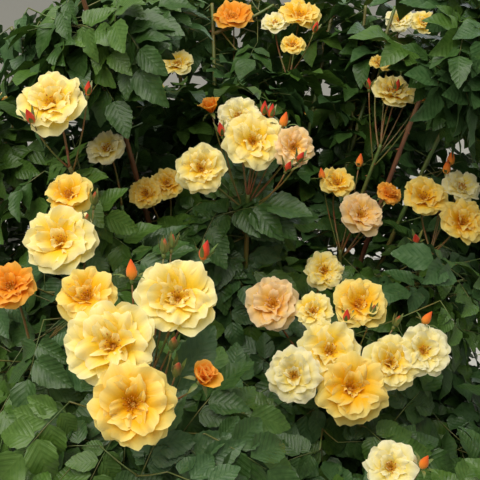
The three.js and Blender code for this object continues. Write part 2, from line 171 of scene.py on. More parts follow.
def build(name, heap, material, replaced=(), stacked=False):
    """Makes a piece of the plant from a heap. A stacked one keeps the heap's texture map."""
    points = np.concatenate(heap.points) * MM
    corners = np.concatenate([group.ravel() for group in heap.faces])
    sizes = np.concatenate([np.full(len(group), group.shape[1]) for group in heap.faces])
    mesh = bpy.data.meshes.new(name)
    mesh.vertices.add(len(points))
    mesh.vertices.foreach_set("co", points.astype(np.float32).ravel())
    mesh.loops.add(len(corners))
    mesh.loops.foreach_set("vertex_index", corners.astype(np.int32))
    mesh.polygons.add(len(sizes))
    mesh.polygons.foreach_set("loop_start", (np.cumsum(sizes) - sizes).astype(np.int32))
    mesh.polygons.foreach_set("loop_total", sizes.astype(np.int32))
    mesh.polygons.foreach_set("use_smooth", np.ones(len(sizes), bool))
    if stacked:
        uv = np.concatenate(heap.uvs)[corners]
        mesh.uv_layers.new(name=STACKED_MAP).data.foreach_set("uv", uv.astype(np.float32).ravel())
    mesh.update()
    mesh.validate()
    mesh.materials.append(material)
    piece = bpy.data.objects.new(name, mesh)
    bpy.context.scene.collection.objects.link(piece)
    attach(piece, "root")
    if replaced:
        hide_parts(*replaced)
    print(name, triangle_count(heap), "triangles")


# %% [markdown]
# The camera stands where the photographer stood: about 1.6 m above the ground and 1.2 m from the middle
# of the bush, looking 25 degrees down through a lens that takes in 32 degrees. A wide soft lamp overhead
# and a pale sky give the even light of a bright, overcast day, and the floor is plain and pale. The
# standard view transform shows a strong yellow as it is, where the default one would wash it out. The
# places and sizes of lamps and floor are in metres.

# %% Camera, floor and light
def linear(colour):
    """An sRGB hex colour as linear red, green, blue and alpha."""
    parts = [int(colour[i:i + 2], 16) / 255 for i in (1, 3, 5)]
    parts = [part / 12.92 if part <= 0.04045 else ((part + 0.055) / 1.055) ** 2.4 for part in parts]
    return (*parts, 1.0)


def add_node(tree, kind, inputs=None, **settings):
    """Adds a shader node. An input given as a socket, or as a node for its first socket, is linked, and any
    other value is set."""
    made = tree.nodes.new("ShaderNode" + kind)
    for name, value in settings.items():
        setattr(made, name, value)
    for key, value in (inputs or {}).items():
        if isinstance(value, bpy.types.Node):
            value = value.outputs[0]
        if isinstance(value, bpy.types.NodeSocket):
            tree.links.new(value, made.inputs[key])
        else:
            made.inputs[key].default_value = value
    return made


def new_material(name):
    made = bpy.data.materials.new(name)
    made.use_nodes = True
    made.node_tree.nodes.clear()
    return made, made.node_tree


VIEW_PLACE = np.array([0.0, -1200.0, 1600.0])
VIEW_PITCH = math.radians(25)
VIEW_ANGLE = math.radians(32)

camera_data = bpy.data.cameras.new("camera")
camera_data.sensor_width = 36
camera_data.lens = camera_data.sensor_width / 2 / math.tan(VIEW_ANGLE / 2)
camera = bpy.data.objects.new("camera", camera_data)
camera.location = VIEW_PLACE * MM
camera.rotation_euler = (math.pi / 2 - VIEW_PITCH, 0, 0)
bpy.context.scene.collection.objects.link(camera)
bpy.context.scene.camera = camera
bpy.context.scene.view_settings.view_transform = "Standard"

floor_material, tree = new_material("floor_paint")
floor_paint = add_node(tree, "BsdfPrincipled", {"Base Color": linear("#d8d4ca"), "Roughness": 0.9})
add_node(tree, "OutputMaterial", {"Surface": floor_paint})
floor_mesh = bpy.data.meshes.new("floor")
FLOOR_HALF = 15.0
floor_corners = [(x * FLOOR_HALF, y * FLOOR_HALF, 0) for x, y in ((-1, -1), (1, -1), (1, 1), (-1, 1))]
floor_mesh.from_pydata(floor_corners, [], [(0, 1, 2, 3)])
floor_mesh.materials.append(floor_material)
floor = bpy.data.objects.new("floor", floor_mesh)
bpy.context.scene.collection.objects.link(floor)

AIM = Vector((0, 0, 0.8))
LAMPS = {
    "overhead": {"place": (-0.7, -0.9, 3.4), "size": 2.6, "power": 105, "colour": "#fffaf0"},
    "behind": {"place": (1.6, 2.2, 2.8), "size": 2.2, "power": 26, "colour": "#eef4ff"},
}
for name, lamp in LAMPS.items():
    light = bpy.data.lights.new(name, "AREA")
    light.size, light.energy, light.color = lamp["size"], lamp["power"], linear(lamp["colour"])[:3]
    holder = bpy.data.objects.new(name, light)
    holder.location = lamp["place"]
    holder.rotation_euler = (AIM - holder.location).to_track_quat("-Z", "Y").to_euler()
    bpy.context.scene.collection.objects.link(holder)

world = bpy.data.worlds.new("overcast_sky")
world.use_nodes = True
world.node_tree.nodes.clear()
sky = add_node(world.node_tree, "Background", {"Color": linear("#e9eae4"), "Strength": 0.45})
add_node(world.node_tree, "OutputWorld", {"Surface": sky})
bpy.context.scene.world = world
print("lens in mm:", round(camera_data.lens, 1))

# %% [markdown]
# The plant's plan is the same as that of the solids. Each cane is told by its flower heads: the way they
# stand from the foot, how far out and how high, and the place and width of each bloom as the viewer sees
# it. A head may carry buds too, each by its place, its length and how far it has opened. A head without
# blooms is a leafy tip, and a head that is given one to three blooms as a number is laid out by rule.

# %% The canes, their flower heads and buds
CROWN = {"radius": 650, "middle": 700, "top": 1500, "foot": 190, "power": 4}
CANE = {"foot": 7.4, "tip": 4.6, "share": 0.48, "knee_reach": 0.34, "knee_height": 0.6}
FOOT_RING = {"outer": 34, "inner": 16, "height": 62, "turn": 0.3, "reach_of_outer": 360}
SIDE_SHOOT = {"count": 7, "first_heading": 15, "reach": 520, "height": 690, "arch": 10, "share": 0.5}
SIDE_LIMB = {"foot": 4.8, "tip": 3.6, "start": 0.3, "cane_reach": 425}
STEM = {"tip": 3.0, "branch_foot": 3.6, "branch_tip": 2.6, "overlap": 0.004}
TRUSS = {"stalk": 95, "stalk_step": 9, "spacing": 36, "width": 84, "dome": 160, "lean": 0.88}
VIEW_DOME = 0.6


def head_at(heading, reach, height, blooms=0, buds=()):
    """A head by its heading in degrees, its reach and its height. Blooms are a number, or for each one its
    place to the right and up as the viewer sees it, its width and its tint. A bud has its place, its length
    and its stage."""
    return {"heading": heading, "reach": reach, "height": height, "blooms": blooms, "buds": buds}


CANES = {
    "front_left": [
        head_at(257, 501, 1164,
                [(50, 40, 89, "yellow"), (-45, 40, 67, "gold"), (-15, -5, 95, "yellow"),
                 (10, -60, 89, "gold")],
                [(0, 64, 22, "orange"), (80, -35, 30, "opening"), (76, 84, 22, "red"),
                 (33, 88, 17, "green"), (41, 93, 16, "green"), (47, -7, 18, "green"),
                 (52, -30, 20, "green")])],
    "front": [head_at(291, 480, 967, [(0, 0, 64, "cream")], [(38, 4, 20, "orange")])],
    "front_right": [
        head_at(298, 296, 1010,
                [(-95, 55, 81, "blush"), (-40, 45, 55, "yellow"), (25, 55, 79, "gold"),
                 (-20, -5, 89, "yellow"), (-70, -35, 76, "cream"), (5, -50, 95, "gold"),
                 (60, -20, 76, "yellow"), (105, -5, 72, "cream")],
                [(4, 37, 19, "red"), (40, 43, 19, "green"), (71, 30, 18, "green"),
                 (112, 34, 22, "orange")]),
        head_at(313, 178, 1056, [(0, 0, 60, "yellow")])],
    "centre": [
        head_at(276, 126, 1254,
                [(5, -5, 86, "yellow"), (-15, 30, 64, "cream"), (60, -15, 59, "blush"),
                 (-65, -45, 70, "yellow")],
                [(20, 40, 20, "red"), (30, 36, 20, "red"), (47, 23, 22, "orange"), (67, -31, 18, "red"),
                 (50, -44, 18, "red"), (-55, 47, 28, "opening"), (-39, 9, 20, "red")]),
        head_at(214, 146, 1160, [(15, 10, 50, "gold"), (-15, -5, 50, "gold")])],
    "left_top": [
        head_at(224, 317, 1332, [(0, 0, 88, "yellow")], [(-20, -25, 20, "red"), (45, 12, 18, "red")]),
        head_at(209, 212, 1232, [(0, 0, 58, "cream")])],
    "left_middle": [
        head_at(235, 368, 1207,
                [(5, 35, 61, "gold"), (0, -20, 89, "yellow")],
                [(38, 26, 18, "green"), (32, 0, 18, "green")]),
        head_at(234, 446, 1154, [(0, 0, 62, "apricot")])],
    "right_back": [
        head_at(27, 280, 1252,
                [(0, 0, 81, "yellow"), (-15, 50, 45, "gold")],
                [(-4, 69, 20, "red"), (18, 42, 18, "red"), (5, 5, 20, "red"), (62, 21, 20, "red"),
                 (38, 29, 22, "orange"), (-41, 8, 18, "red"), (44, -15, 22, "orange")])],
    "right": [
        head_at(1, 326, 1107,
                [(-35, 10, 75, "gold"), (20, -30, 78, "gold"), (25, 25, 62, "cream")],
                [(13, 69, 24, "orange"), (4, 54, 24, "orange"), (-60, -60, 20, "red")]),
        head_at(2, 179, 1114,
                [(-25, 25, 59, "gold"), (10, -25, 75, "blush"), (55, 5, 43, "apricot")],
                [(12, 58, 22, "orange"), (-50, 35, 20, "orange"), (54, 5, 26, "opening")])],
    "back_top": [
        head_at(98, 384, 1440),
        head_at(92, 332, 1336, [(0, 0, 75, "apricot")]),
        head_at(71, 293, 1336,
                [(10, 15, 80, "gold"), (-35, -5, 52, "cream"), (-5, -50, 45, "gold")],
                [(35, -18, 20, "red")]),
        head_at(111, 316, 1258, [(0, 0, 61, "yellow")]),
        head_at(80, 372, 1440)],
    "back_right": [
        head_at(50, 450, 1440),
        head_at(47, 450, 1327, [(-20, 0, 54, "cream"), (25, -5, 54, "yellow")]),
        head_at(57, 436, 1440)],
    "left": [head_at(186, 430, 1390), head_at(192, 530, 1110, 3)],
    "left_back": [head_at(153, 440, 1430), head_at(150, 520, 1190, 2)],
    "back": [head_at(108, 430, 1455), head_at(114, 570, 1170, 3)],
    "back_low": [head_at(66, 460, 1450), head_at(79, 580, 1110, 2)],
    "right_far": [head_at(22, 460, 1420), head_at(20, 570, 1120, 3)],
    "tall_left": [head_at(203, 245, 1540)],
    "tall_right": [head_at(16, 380, 1520)],
    "right_front": [head_at(327, 545, 980, 3)],
    "front_far_left": [head_at(216, 560, 940, 2)],
}
print("canes:", len(CANES), "heads:", sum(len(heads) for heads in CANES.values()))

# %% [markdown]
# From that plan come the curves. A cane is one bent line from its foot on the woody base, over a knee, to
# the point below its flower head where the flower stalks part. Further heads branch off it part way up.

# %% Curves of canes, branches and side shoots
def place(heading, reach, height):
    """A point by its heading in radians, its reach and its height."""
    return level(heading) * reach + UP * height


def bezier(curve, share):
    """The points of a bent line, told by three corners, at shares of the way along it."""
    foot, knee, tip = curve
    share = np.asarray(share, float)[..., None]
    return (1 - share) ** 2 * foot + 2 * share * (1 - share) * knee + share ** 2 * tip


def curve_length(curve):
    return np.linalg.norm(np.diff(bezier(curve, np.linspace(0, 1, 60)), axis=0), axis=1).sum()


def run_along(points):
    """The distance of each point of a line from its first, measured along it."""
    return np.concatenate([[0], np.cumsum(np.linalg.norm(np.diff(points, axis=0), axis=1))])


def before_end(curve, distance):
    """The point of a curve at a distance before its end, measured along it."""
    shares = np.linspace(1, 0, 200)
    return bezier(curve, np.interp(distance, run_along(bezier(curve, shares)), shares))


def outward(head):
    """The way a head faces, up and out."""
    return unit(level(math.radians(head["heading"])) * TRUSS["lean"] + UP)


def head_middle(head):
    return place(math.radians(head["heading"]), head["reach"], head["height"])


def truss_foot(head):
    """The point below a head where its flower stalks part."""
    under = unit(outward(head) * 0.35 + UP * 0.9)
    return head_middle(head) - under * TRUSS["stalk"]


def seen_at(head, right, rise):
    """A place beside a head's middle, to the right and up as the viewer sees it, on a gently domed face."""
    up = np.array([0, math.sin(VIEW_PITCH), math.cos(VIEW_PITCH)])
    near = np.array([0, -math.cos(VIEW_PITCH), math.sin(VIEW_PITCH)])
    return head_middle(head) + np.array([right, 0, 0]) + up * rise - near * rise * VIEW_DOME


def truss_place(head, k):
    """The place of bloom or bud k of a head that is laid out by rule, in a spiral on a dome."""
    axis = outward(head)
    side = unit(np.cross(UP, axis))
    top = np.cross(axis, side)
    turn = k * GOLDEN_ANGLE + head["heading"]
    off = TRUSS["spacing"] * math.sqrt(k + 0.6)
    return (head_middle(head) + side * off * math.cos(turn) + top * off * math.sin(turn)
            - axis * off * off / TRUSS["dome"])


def cane_curves():
    """The canes' curves. Their feet stand evenly round the knuckle in two rings, in order of heading."""
    curves = {}
    for ring in ("outer", "inner"):
        members = [name for name, heads in CANES.items()
                   if (heads[0]["reach"] > FOOT_RING["reach_of_outer"]) == (ring == "outer")]
        members.sort(key=lambda name: CANES[name][0]["heading"])
        for rank, name in enumerate(members):
            head = CANES[name][0]
            turn = rank / len(members) * TAU + FOOT_RING["turn"]
            foot = place(turn, FOOT_RING[ring], FOOT_RING["height"])
            knee = place(math.radians(head["heading"]), head["reach"] * CANE["knee_reach"],
                         head["height"] * CANE["knee_height"])
            curves[name] = (foot, knee + foot * [0.6, 0.6, 0], truss_foot(head))
    return curves


def side_shoots(canes):
    """The low side shoots, each from the cane whose heading is nearest to its own."""
    far_canes = [name for name, heads in CANES.items() if heads[0]["reach"] > SIDE_LIMB["cane_reach"]]
    for k in range(SIDE_SHOOT["count"]):
        heading = SIDE_SHOOT["first_heading"] + k * 360 / SIDE_SHOOT["count"]
        away = [abs((CANES[name][0]["heading"] - heading + 540) % 360 - 180) for name in far_canes]
        head = head_at(heading, SIDE_SHOOT["reach"], SIDE_SHOOT["height"], 1 + k % 2)
        root = bezier(canes[far_canes[np.argmin(away)]], SIDE_LIMB["start"])
        tip = truss_foot(head)
        yield f"low_{k + 1}", head, (root, (root + tip) / 2 + UP * SIDE_SHOOT["arch"], tip)


curves = cane_curves()
shoots = [{"name": name, "heads": heads, "stem": curves[name], "share": CANE["share"], "low": False}
          for name, heads in CANES.items()]
shoots += [{"name": name, "heads": [head], "stem": curve, "share": SIDE_SHOOT["share"], "low": True}
           for name, head, curve in side_shoots(curves)]
print("shoots:", len(shoots), "longest cane in mm:", round(max(map(curve_length, curves.values()))))

# %% [markdown]
# Each shoot now gets its frame: the branches to its further heads, the blooms with the way they face, and
# the buds. A skeleton of points goes with it. A leaf belongs to the shoot whose skeleton is nearest, so
# every mass keeps to its own space. Heads that are laid out by rule get a few buds round their blooms.
# Blooms in view are turned towards the viewer, those of some shoots less than the others.

# %% The frame of each shoot
RULE_BUD_LENGTH = {"red": 20, "green": 17, "orange": 23}
RULE_SHRINK = 0.07
TOWARD_VIEWER = {"left_top": 0.4, "left_middle": 0.45, "right_back": 0.42, "right": 0.6, "back_top": 0.6}
USUAL_TOWARD = 0.75
NEAR_SHOOTS = ("front_left", "front_right", "centre")
TWIG_ROOTS = {"stem": (0.1, 0.9), "leafy_tip": (0.06, 0.94), "twig": (0.1, 0.7)}


def branch_to(shoot, rank, foot):
    """The curve to a further head, which leaves the shoot's stem the higher the later it comes."""
    start = shoot["share"]
    root = bezier(shoot["stem"], start + (1 - start) * (0.1 + 0.2 * rank))
    bend = root + (foot - root) * 0.6
    bend[2] = root[2] * 0.55 + foot[2] * 0.45
    return root, bend, foot


def spots_of(head):
    """The places of a head's blooms, with width and tint, and of its buds, with length and stage."""
    if isinstance(head["blooms"], list):
        spots, buds = ([(seen_at(head, *spot[:2]), *spot[2:]) for spot in head[kind]]
                       for kind in ("blooms", "buds"))
        return spots, buds
    count = head["blooms"]
    spots = [(truss_place(head, k), TRUSS["width"] * (1 - RULE_SHRINK * k), None) for k in range(count)]
    by_rule = enumerate(RULE_BUD_LENGTH.items() if count else ())
    buds = [(truss_place(head, count + 1.5 + 2 * k), length, stage) for k, (stage, length) in by_rule]
    return spots, buds


def frame_of(shoot):
    """Adds to a shoot its carriers of twigs, its blooms, its buds and its skeleton of balls."""
    shoot["carriers"], shoot["blooms"], shoot["buds"], skeleton = [], [], [], []
    for rank, head in enumerate(shoot["heads"]):
        foot, leafy, seen = truss_foot(head), not head["blooms"], isinstance(head["blooms"], list)
        curve = branch_to(shoot, rank, foot) if rank else shoot["stem"]
        shoot["carriers"].append({"curve": curve, "start": 0 if rank else shoot["share"], "leafy": leafy,
                                  "roots": TWIG_ROOTS["leafy_tip" if leafy and not rank else "stem"]})
        spots, buds = spots_of(head)
        for order, (middle, width, tint) in enumerate(spots):
            root = before_end(curve, order * TRUSS["stalk_step"] + 1)
            facing = unit(unit(middle - foot) + outward(head))
            if seen:
                toward = TOWARD_VIEWER.get(shoot["name"], USUAL_TOWARD)
                facing = unit(facing * 0.55 + unit(VIEW_PLACE - middle) * toward + UP * 0.1)
            shoot["blooms"].append({"root": root, "middle": middle, "width": width, "facing": facing,
                                    "tint": tint, "seen": seen, "near": shoot["name"] in NEAR_SHOOTS})
            skeleton += [(middle, width / 2), ((root + middle) / 2, 0)]
        for order, (middle, length, stage) in enumerate(buds):
            root = before_end(curve, order * TRUSS["stalk_step"] * 0.7 + 4)
            facing = unit(unit(middle - root) + UP * 0.5)
            shoot["buds"].append({"root": root, "middle": middle, "length": length, "stage": stage,
                                  "facing": facing})
    for carrier in shoot["carriers"]:
        skeleton += [(bezier(carrier["curve"], share), 0) for share in np.linspace(carrier["start"], 1, 11)]
    shoot["skeleton"] = skeleton


for shoot in shoots:
    frame_of(shoot)
blooms = [bloom for shoot in shoots for bloom in shoot["blooms"]]
buds = [bud for shoot in shoots for bud in shoot["buds"]]
SKELETON_POINTS = np.array([point for shoot in shoots for point, _ in shoot["skeleton"]])
SKELETON_RADII = np.array([radius for shoot in shoots for _, radius in shoot["skeleton"]])
SKELETON_OWNER = np.array([rank for rank, shoot in enumerate(shoots) for _ in shoot["skeleton"]])
print("blooms:", len(blooms), "buds:", len(buds))

# %% [markdown]
# Growth follows the rule of the solids, carried further. A twig leaves the stem, a branch or an earlier
# twig, each one further round by the golden angle, and rises as it goes. Along a real shoot the leaves
# stand in turn on one side and the other, so each twig carries several, and the stem itself has leaves up
# to its flower head, set closer where it ends in a leafy tip. A leaf is left out where the end of its
# stalk would lie in another mass's space, or where it would leave the crown, cover a bloom or crowd
# another leaf. High up, where the crown is thin, the space is tested half way along the stalk instead.
# Six masses that stand against the pale surround, at the back and the right, get more leaves than the
# others, so that it shows through less.

# %% Growth of twigs and leaves
TWIG = {"first": (60, 230), "second": (35, 80), "foot": 1.7, "tip": 1.0, "second_share": 0.8, "sag": 0.08}
TWIG_RISE = {"upper": (-0.6, 0.7), "low": (-0.7, 0.65)}
GROWTH = {"seed": 1000, "seed_step": 77, "tries": 900, "from_twigs": 0.3}
LEAVES_WANTED = {"upper": 130, "thick": 154, "low": 84}
THICK_MASSES = ("back_top", "back_right", "back_low", "right_far", "tall_right", "right")
# A leaf stands at every step along a twig and every stem_step along a stem, and the middles of two leaves
# keep a gap between them.
LEAF = {"stalk": 60, "blade": 54, "sag": 0.12, "gap": 25, "step": 34, "stem_step": 21, "high": 1250,
        "tip_leaves": 12, "tip_step": 0.02, "sizes": (0.82, 1.15), "three_pairs": 0.4, "young": 0.17}
LEAF_POSE = {"level_out": 0.7, "droop": (-0.1, 0.5), "sway": (-0.4, 0.4), "face_out": (0.3, 1.4),
             "face_up": 0.8, "ahead": 0.55, "aside": (0.6, 1.1), "flatten": 0.7}
BLOOM_CLEAR = {"around": 9, "bud": 13, "before": 650, "share": 0.92}

bloom_middles = np.array([bloom["middle"] for bloom in blooms])
bloom_radii = np.array([bloom["width"] / 2 for bloom in blooms])
bloom_seen = np.array([bloom["seen"] for bloom in blooms])
bud_middles = np.array([bud["middle"] for bud in buds])
to_viewer = unit(VIEW_PLACE - bloom_middles)


def in_crown(points):
    """Whether points are inside the crown's outline, a dome on a bowl, and inside the solids' box."""
    rise = np.abs(points[:, 2] - CROWN["middle"])
    span = np.where(points[:, 2] > CROWN["middle"], CROWN["top"] - CROWN["middle"],
                    CROWN["middle"] - CROWN["foot"])
    power = CROWN["power"]
    inside = (np.hypot(points[:, 0], points[:, 1]) / CROWN["radius"]) ** power + (rise / span) ** power < 1
    return bool(np.all(inside & np.all((points > BOX_LOW) & (points < BOX_HIGH), axis=1)))


def in_space(point, rank):
    """Whether a point is nearer to this mass's skeleton than to any other's."""
    reach = np.linalg.norm(SKELETON_POINTS - point, axis=1) - SKELETON_RADII
    return SKELETON_OWNER[np.argmin(reach)] == rank


def clear_of_blooms(points):
    """Whether points keep off every bloom and bud, and off the way from the viewer to a bloom in view."""
    apart = points[:, None] - bloom_middles[None]
    if np.any(np.linalg.norm(apart, axis=2) < bloom_radii + BLOOM_CLEAR["around"]):
        return False
    if np.any(np.linalg.norm(points[:, None] - bud_middles[None], axis=2) < BLOOM_CLEAR["bud"]):
        return False
    before = (apart * to_viewer).sum(axis=2)
    beside = np.linalg.norm(apart - before[..., None] * to_viewer, axis=2)
    covered = (before > 0) & (before < BLOOM_CLEAR["before"]) & bloom_seen
    return not np.any(covered & (beside < bloom_radii * BLOOM_CLEAR["share"]))


def leaf_reach(root, direction, normal, size):
    """The points that a leaf reaches: along its stalk, its tip, and the tips of its side leaflets."""
    side = unit(np.cross(normal, direction))
    stalk, blade = LEAF["stalk"] * size, LEAF["blade"] * size
    spots = [(0.55, 0), (1, 0), (1 + 0.5 * blade / stalk, 0), (1 + blade / stalk, 0)]
    spots += [(0.75 + 0.4 * blade / stalk, sign * 0.86 * blade / stalk) for sign in (-1, 1)]
    spots += [(0.4 + 0.3 * blade / stalk, sign * 0.7 * blade / stalk) for sign in (-1, 1)]
    return np.array([root + direction * along * stalk + side * out * stalk
                     - UP * LEAF["sag"] * stalk * along ** 2 for along, out in spots])


def on_carrier(carrier, share):
    """The point at a share of the way along the free part of a stem, a branch or a twig."""
    return bezier(carrier["curve"], carrier["start"] + (1 - carrier["start"]) * share)


def grow(shoot, rank, leaves, centres):
    """Adds this shoot's leaves to the list of leaves, and returns its twigs as bent lines."""
    seed = GROWTH["seed"] + rank * GROWTH["seed_step"]
    random = seeded(seed)
    tier = "low" if shoot["low"] else "upper"
    wanted = len(leaves) + LEAVES_WANTED["thick" if shoot["name"] in THICK_MASSES else tier]
    rise = TWIG_RISE[tier]
    twigs = []

    def between(low, high):
        return low + (high - low) * random()

    def add_leaf(spot, way, aside, young):
        """Adds a leaf that grows from a spot, ahead or to one side, if there is room for it."""
        pose = LEAF_POSE
        droop = way[2] * pose["level_out"] + between(*pose["droop"])
        direction = way + [between(*pose["sway"]), between(*pose["sway"]), -droop]
        normal = level(math.atan2(spot[1], spot[0])) * between(*pose["face_out"])
        normal = unit(normal + [between(*pose["sway"]), between(*pose["sway"]), pose["face_up"]])
        if aside:
            sideways = unit(np.cross(normal, way)) * aside * between(*pose["aside"])
            direction = direction * pose["ahead"] + sideways
        direction = unit(direction - normal * direction.dot(normal) * pose["flatten"])
        size = between(*LEAF["sizes"])
        reach = leaf_reach(spot, direction, normal, size)
        centre = reach[:3].mean(axis=0)
        near = len(centres) and np.linalg.norm(np.array(centres) - centre, axis=1).min() < LEAF["gap"]
        own = in_space(reach[0 if spot[2] > LEAF["high"] else 1], rank)
        if near or not (own and in_crown(reach) and clear_of_blooms(reach)):
            return False
        pairs = 3 if random() < LEAF["three_pairs"] else 2
        leaves.append({"root": spot, "direction": direction, "normal": normal, "size": size, "rank": rank,
                       "twig": len(twigs), "pairs": pairs, "young": young})
        centres.append(centre)
        return True

    for carrier in shoot["carriers"]:
        run = curve_length(carrier["curve"]) * (1 - carrier["start"])
        count = int(run / LEAF["stem_step"])
        shares = [(k + 1) / (count + 0.4) for k in range(count)]
        shares += [1 - LEAF["tip_step"] * k for k in range(LEAF["tip_leaves"] if carrier["leafy"] else 0)]
        for k, share in enumerate(shares):
            way = unit(level(seed + k * GOLDEN_ANGLE) + UP * between(*rise))
            add_leaf(on_carrier(carrier, share), way, 0, False)
    for k in range(GROWTH["tries"]):
        if len(leaves) >= wanted:
            break
        second = len(twigs) > 1 and random() < GROWTH["from_twigs"]
        choices = twigs if second else shoot["carriers"]
        carrier = choices[int(random() * len(choices))]
        root = on_carrier(carrier, between(*carrier["roots"]))
        length = between(*TWIG["second" if second else "first"])
        tip = root + level(seed + k * GOLDEN_ANGLE) * length + UP * length * between(*rise)
        curve = (root, (root + tip) / 2 - UP * length * TWIG["sag"], tip)
        line = bezier(curve, np.linspace(0.2, 1, 5))
        if not (in_space(tip, rank) and in_crown(line) and clear_of_blooms(line)):
            continue
        steps = max(1, int(np.linalg.norm(tip - root) / LEAF["step"]))
        kept_at = []
        for step in range(steps, 0, -1):
            aside = 0 if step == steps else 1 if step % 2 else -1
            young = step == steps and random() < LEAF["young"]
            if add_leaf(bezier(curve, step / steps), unit(tip - root), aside, young):
                kept_at.append(step / steps)
        if kept_at:
            middle_way, last = bezier(curve, kept_at[0] / 2), bezier(curve, kept_at[0])
            twigs.append({"curve": (root, 2 * middle_way - (root + last) / 2, last), "start": 0,
                          "roots": TWIG_ROOTS["twig"], "second": second})
    return twigs


leaves, centres, twigs = [], [], []
for rank, shoot in enumerate(shoots):
    twigs += grow(shoot, rank, leaves, centres)
print("twigs:", len(twigs), "leaves:", len(leaves))
print("leaves of each shoot:", {shoot["name"]: sum(leaf["rank"] == rank for leaf in leaves)
                                for rank, shoot in enumerate(shoots)})

# %% [markdown]
# Rose leaflets are ovate, folded a little along the rib, with a toothed edge and a drooping tip. One
# leaflet is made once, from a line for the rib, one half way out and one along the teeth, joined by
# triangles. A few variants differ in fold and bend. Those behind have fewer and shallower teeth than
# those near the viewer, and no line half way out.

# %% The leaflet
LEAFLET = {"half_width": 0.32, "widest_at": 0.42, "mid_line": 0.55, "fine_tooth": 0.028,
           "plain_tooth": 0.013, "map_half": 0.42}
FINE_TEETH, PLAIN_TEETH, VARIANTS = 6, 5, 5


def zip_lines(inner, inner_at, outer, outer_at):
    """Triangles between two lines of corners that run side by side."""
    faces, i, k = [], 0, 0
    while i < len(inner) - 1 or k < len(outer) - 1:
        if k == len(outer) - 1 or (i < len(inner) - 1 and inner_at[i + 1] <= outer_at[k + 1]):
            faces.append((inner[i], inner[i + 1], outer[k]))
            i += 1
        else:
            faces.append((inner[i], outer[k + 1], outer[k]))
            k += 1
    return [face for face in faces if len(set(face)) == 3]


def leaflet(teeth, fold, bend, wave, phase):
    """Corners (rib along +X, face towards +Z, length 1), triangles and map of one leaflet."""
    depth = LEAFLET["fine_tooth" if teeth == FINE_TEETH else "plain_tooth"]
    widest = LEAFLET["widest_at"]
    corners, at = [], []

    def half(x):
        return LEAFLET["half_width"] * (x / widest) ** 0.6 * ((1 - x) / (1 - widest))

    def corner(x, y):
        ripple = wave * abs(y) * math.sin(TAU * 1.6 * x + phase)
        corners.append((x, y, fold * abs(y) - bend * x * x + ripple))
        at.append(x)
        return len(corners) - 1

    rib = [corner(i / teeth, 0) for i in range(teeth + 1)]
    faces = []
    for sign in (1, -1):
        mid = [corner(i / teeth, sign * LEAFLET["mid_line"] * half(i / teeth)) for i in range(1, teeth)]
        edge = []
        for i in range(1, 2 * teeth):
            tip = i % 2
            x = (i + 0.35 * tip) / (2 * teeth)
            edge.append(corner(x, sign * (half(x) + depth * (tip - 0.3))))
        lines = [rib, [rib[0], *mid, rib[-1]], [rib[0], *edge, rib[-1]]]
        lines = lines if teeth == FINE_TEETH else lines[::2]
        for inner, outer in zip(lines, lines[1:]):
            found = zip_lines(inner, [at[k] for k in inner], outer, [at[k] for k in outer])
            faces += found if sign > 0 else [face[::-1] for face in found]
    corners, faces = np.array(corners), np.array(faces)
    uv = np.stack([0.5 + corners[:, 1] / (2 * LEAFLET["map_half"]), corners[:, 0]], -1)
    return corners, faces[:, ::-1], np.clip(uv, 0.001, 0.999)


def leaflet_variants(teeth):
    return [leaflet(teeth, fold=0.12 + 0.09 * k, bend=0.1 + 0.07 * ((k * 2) % VARIANTS),
                    wave=0.12 + 0.05 * (k % 3), phase=1.7 * k) for k in range(VARIANTS)]


shapes = {"fine": leaflet_variants(FINE_TEETH), "plain": leaflet_variants(PLAIN_TEETH)}
print("triangles of a leaflet:", {name: len(made[0][1]) for name, made in shapes.items()})

# %% [markdown]
# A rose leaf is compound: five or seven leaflets on one stalk that sags a little, a pair on each side and
# one at the tip. All leaves are laid out at once with arrays: for each kind of leaflet on the stalk, its
# place and way on every leaf, and then its corners turned and scaled. Each leaf has one tint, dealt out
# by twig.

# %% Leaves on their stalks
random_leaves = np.random.default_rng(5)
# Each leaflet: the share of the way along the stalk, the angle from it, the size, and whether it belongs to
# the third pair, which not every leaf has.
LEAFLET_SPOTS = [(1.0, 0, 1.0, False)]
LEAFLET_SPOTS += [(0.72, sign * 58, 0.9, False) for sign in (-1, 1)]
LEAFLET_SPOTS += [(0.44, sign * 64, 0.76, False) for sign in (-1, 1)]
LEAFLET_SPOTS += [(0.22, sign * 68, 0.6, True) for sign in (-1, 1)]
LEAF_TINTS = ["leaf_deep", "leaf_green", "leaf_blue_green", "leaf_young"]
YOUNG_TINT = LEAF_TINTS.index("leaf_young")
LEAFLET_POSE = {"spread": (-9, 9), "hang": (-6, 20), "side_hang": 8, "roll": (-16, 16), "size": (0.9, 1.08),
                "off_stalk": 2.0}
FINE_PLACE = {"front": -60, "height": 640}
STALK_RADII = (0.9, 0.55)

leaf_root = np.array([leaf["root"] for leaf in leaves])
leaf_way = np.array([leaf["direction"] for leaf in leaves])
leaf_size = np.array([leaf["size"] for leaf in leaves])
leaf_side = unit(np.cross([leaf["normal"] for leaf in leaves], leaf_way))
leaf_face = np.cross(leaf_way, leaf_side)
leaf_pairs = np.array([leaf["pairs"] for leaf in leaves])
leaf_tint = np.array([YOUNG_TINT if leaf["young"] else (leaf["rank"] * 7 + leaf["twig"] * 5) % YOUNG_TINT
                      for leaf in leaves])
leaf_fine = (leaf_root[:, 1] < FINE_PLACE["front"]) & (leaf_root[:, 2] > FINE_PLACE["height"])


def stalk_line(along):
    """The point at a share of the way along every leaf's stalk."""
    far = (along * LEAF["stalk"] * leaf_size)[:, None]
    return leaf_root + leaf_way * far - UP * (LEAF["sag"] * along) * far


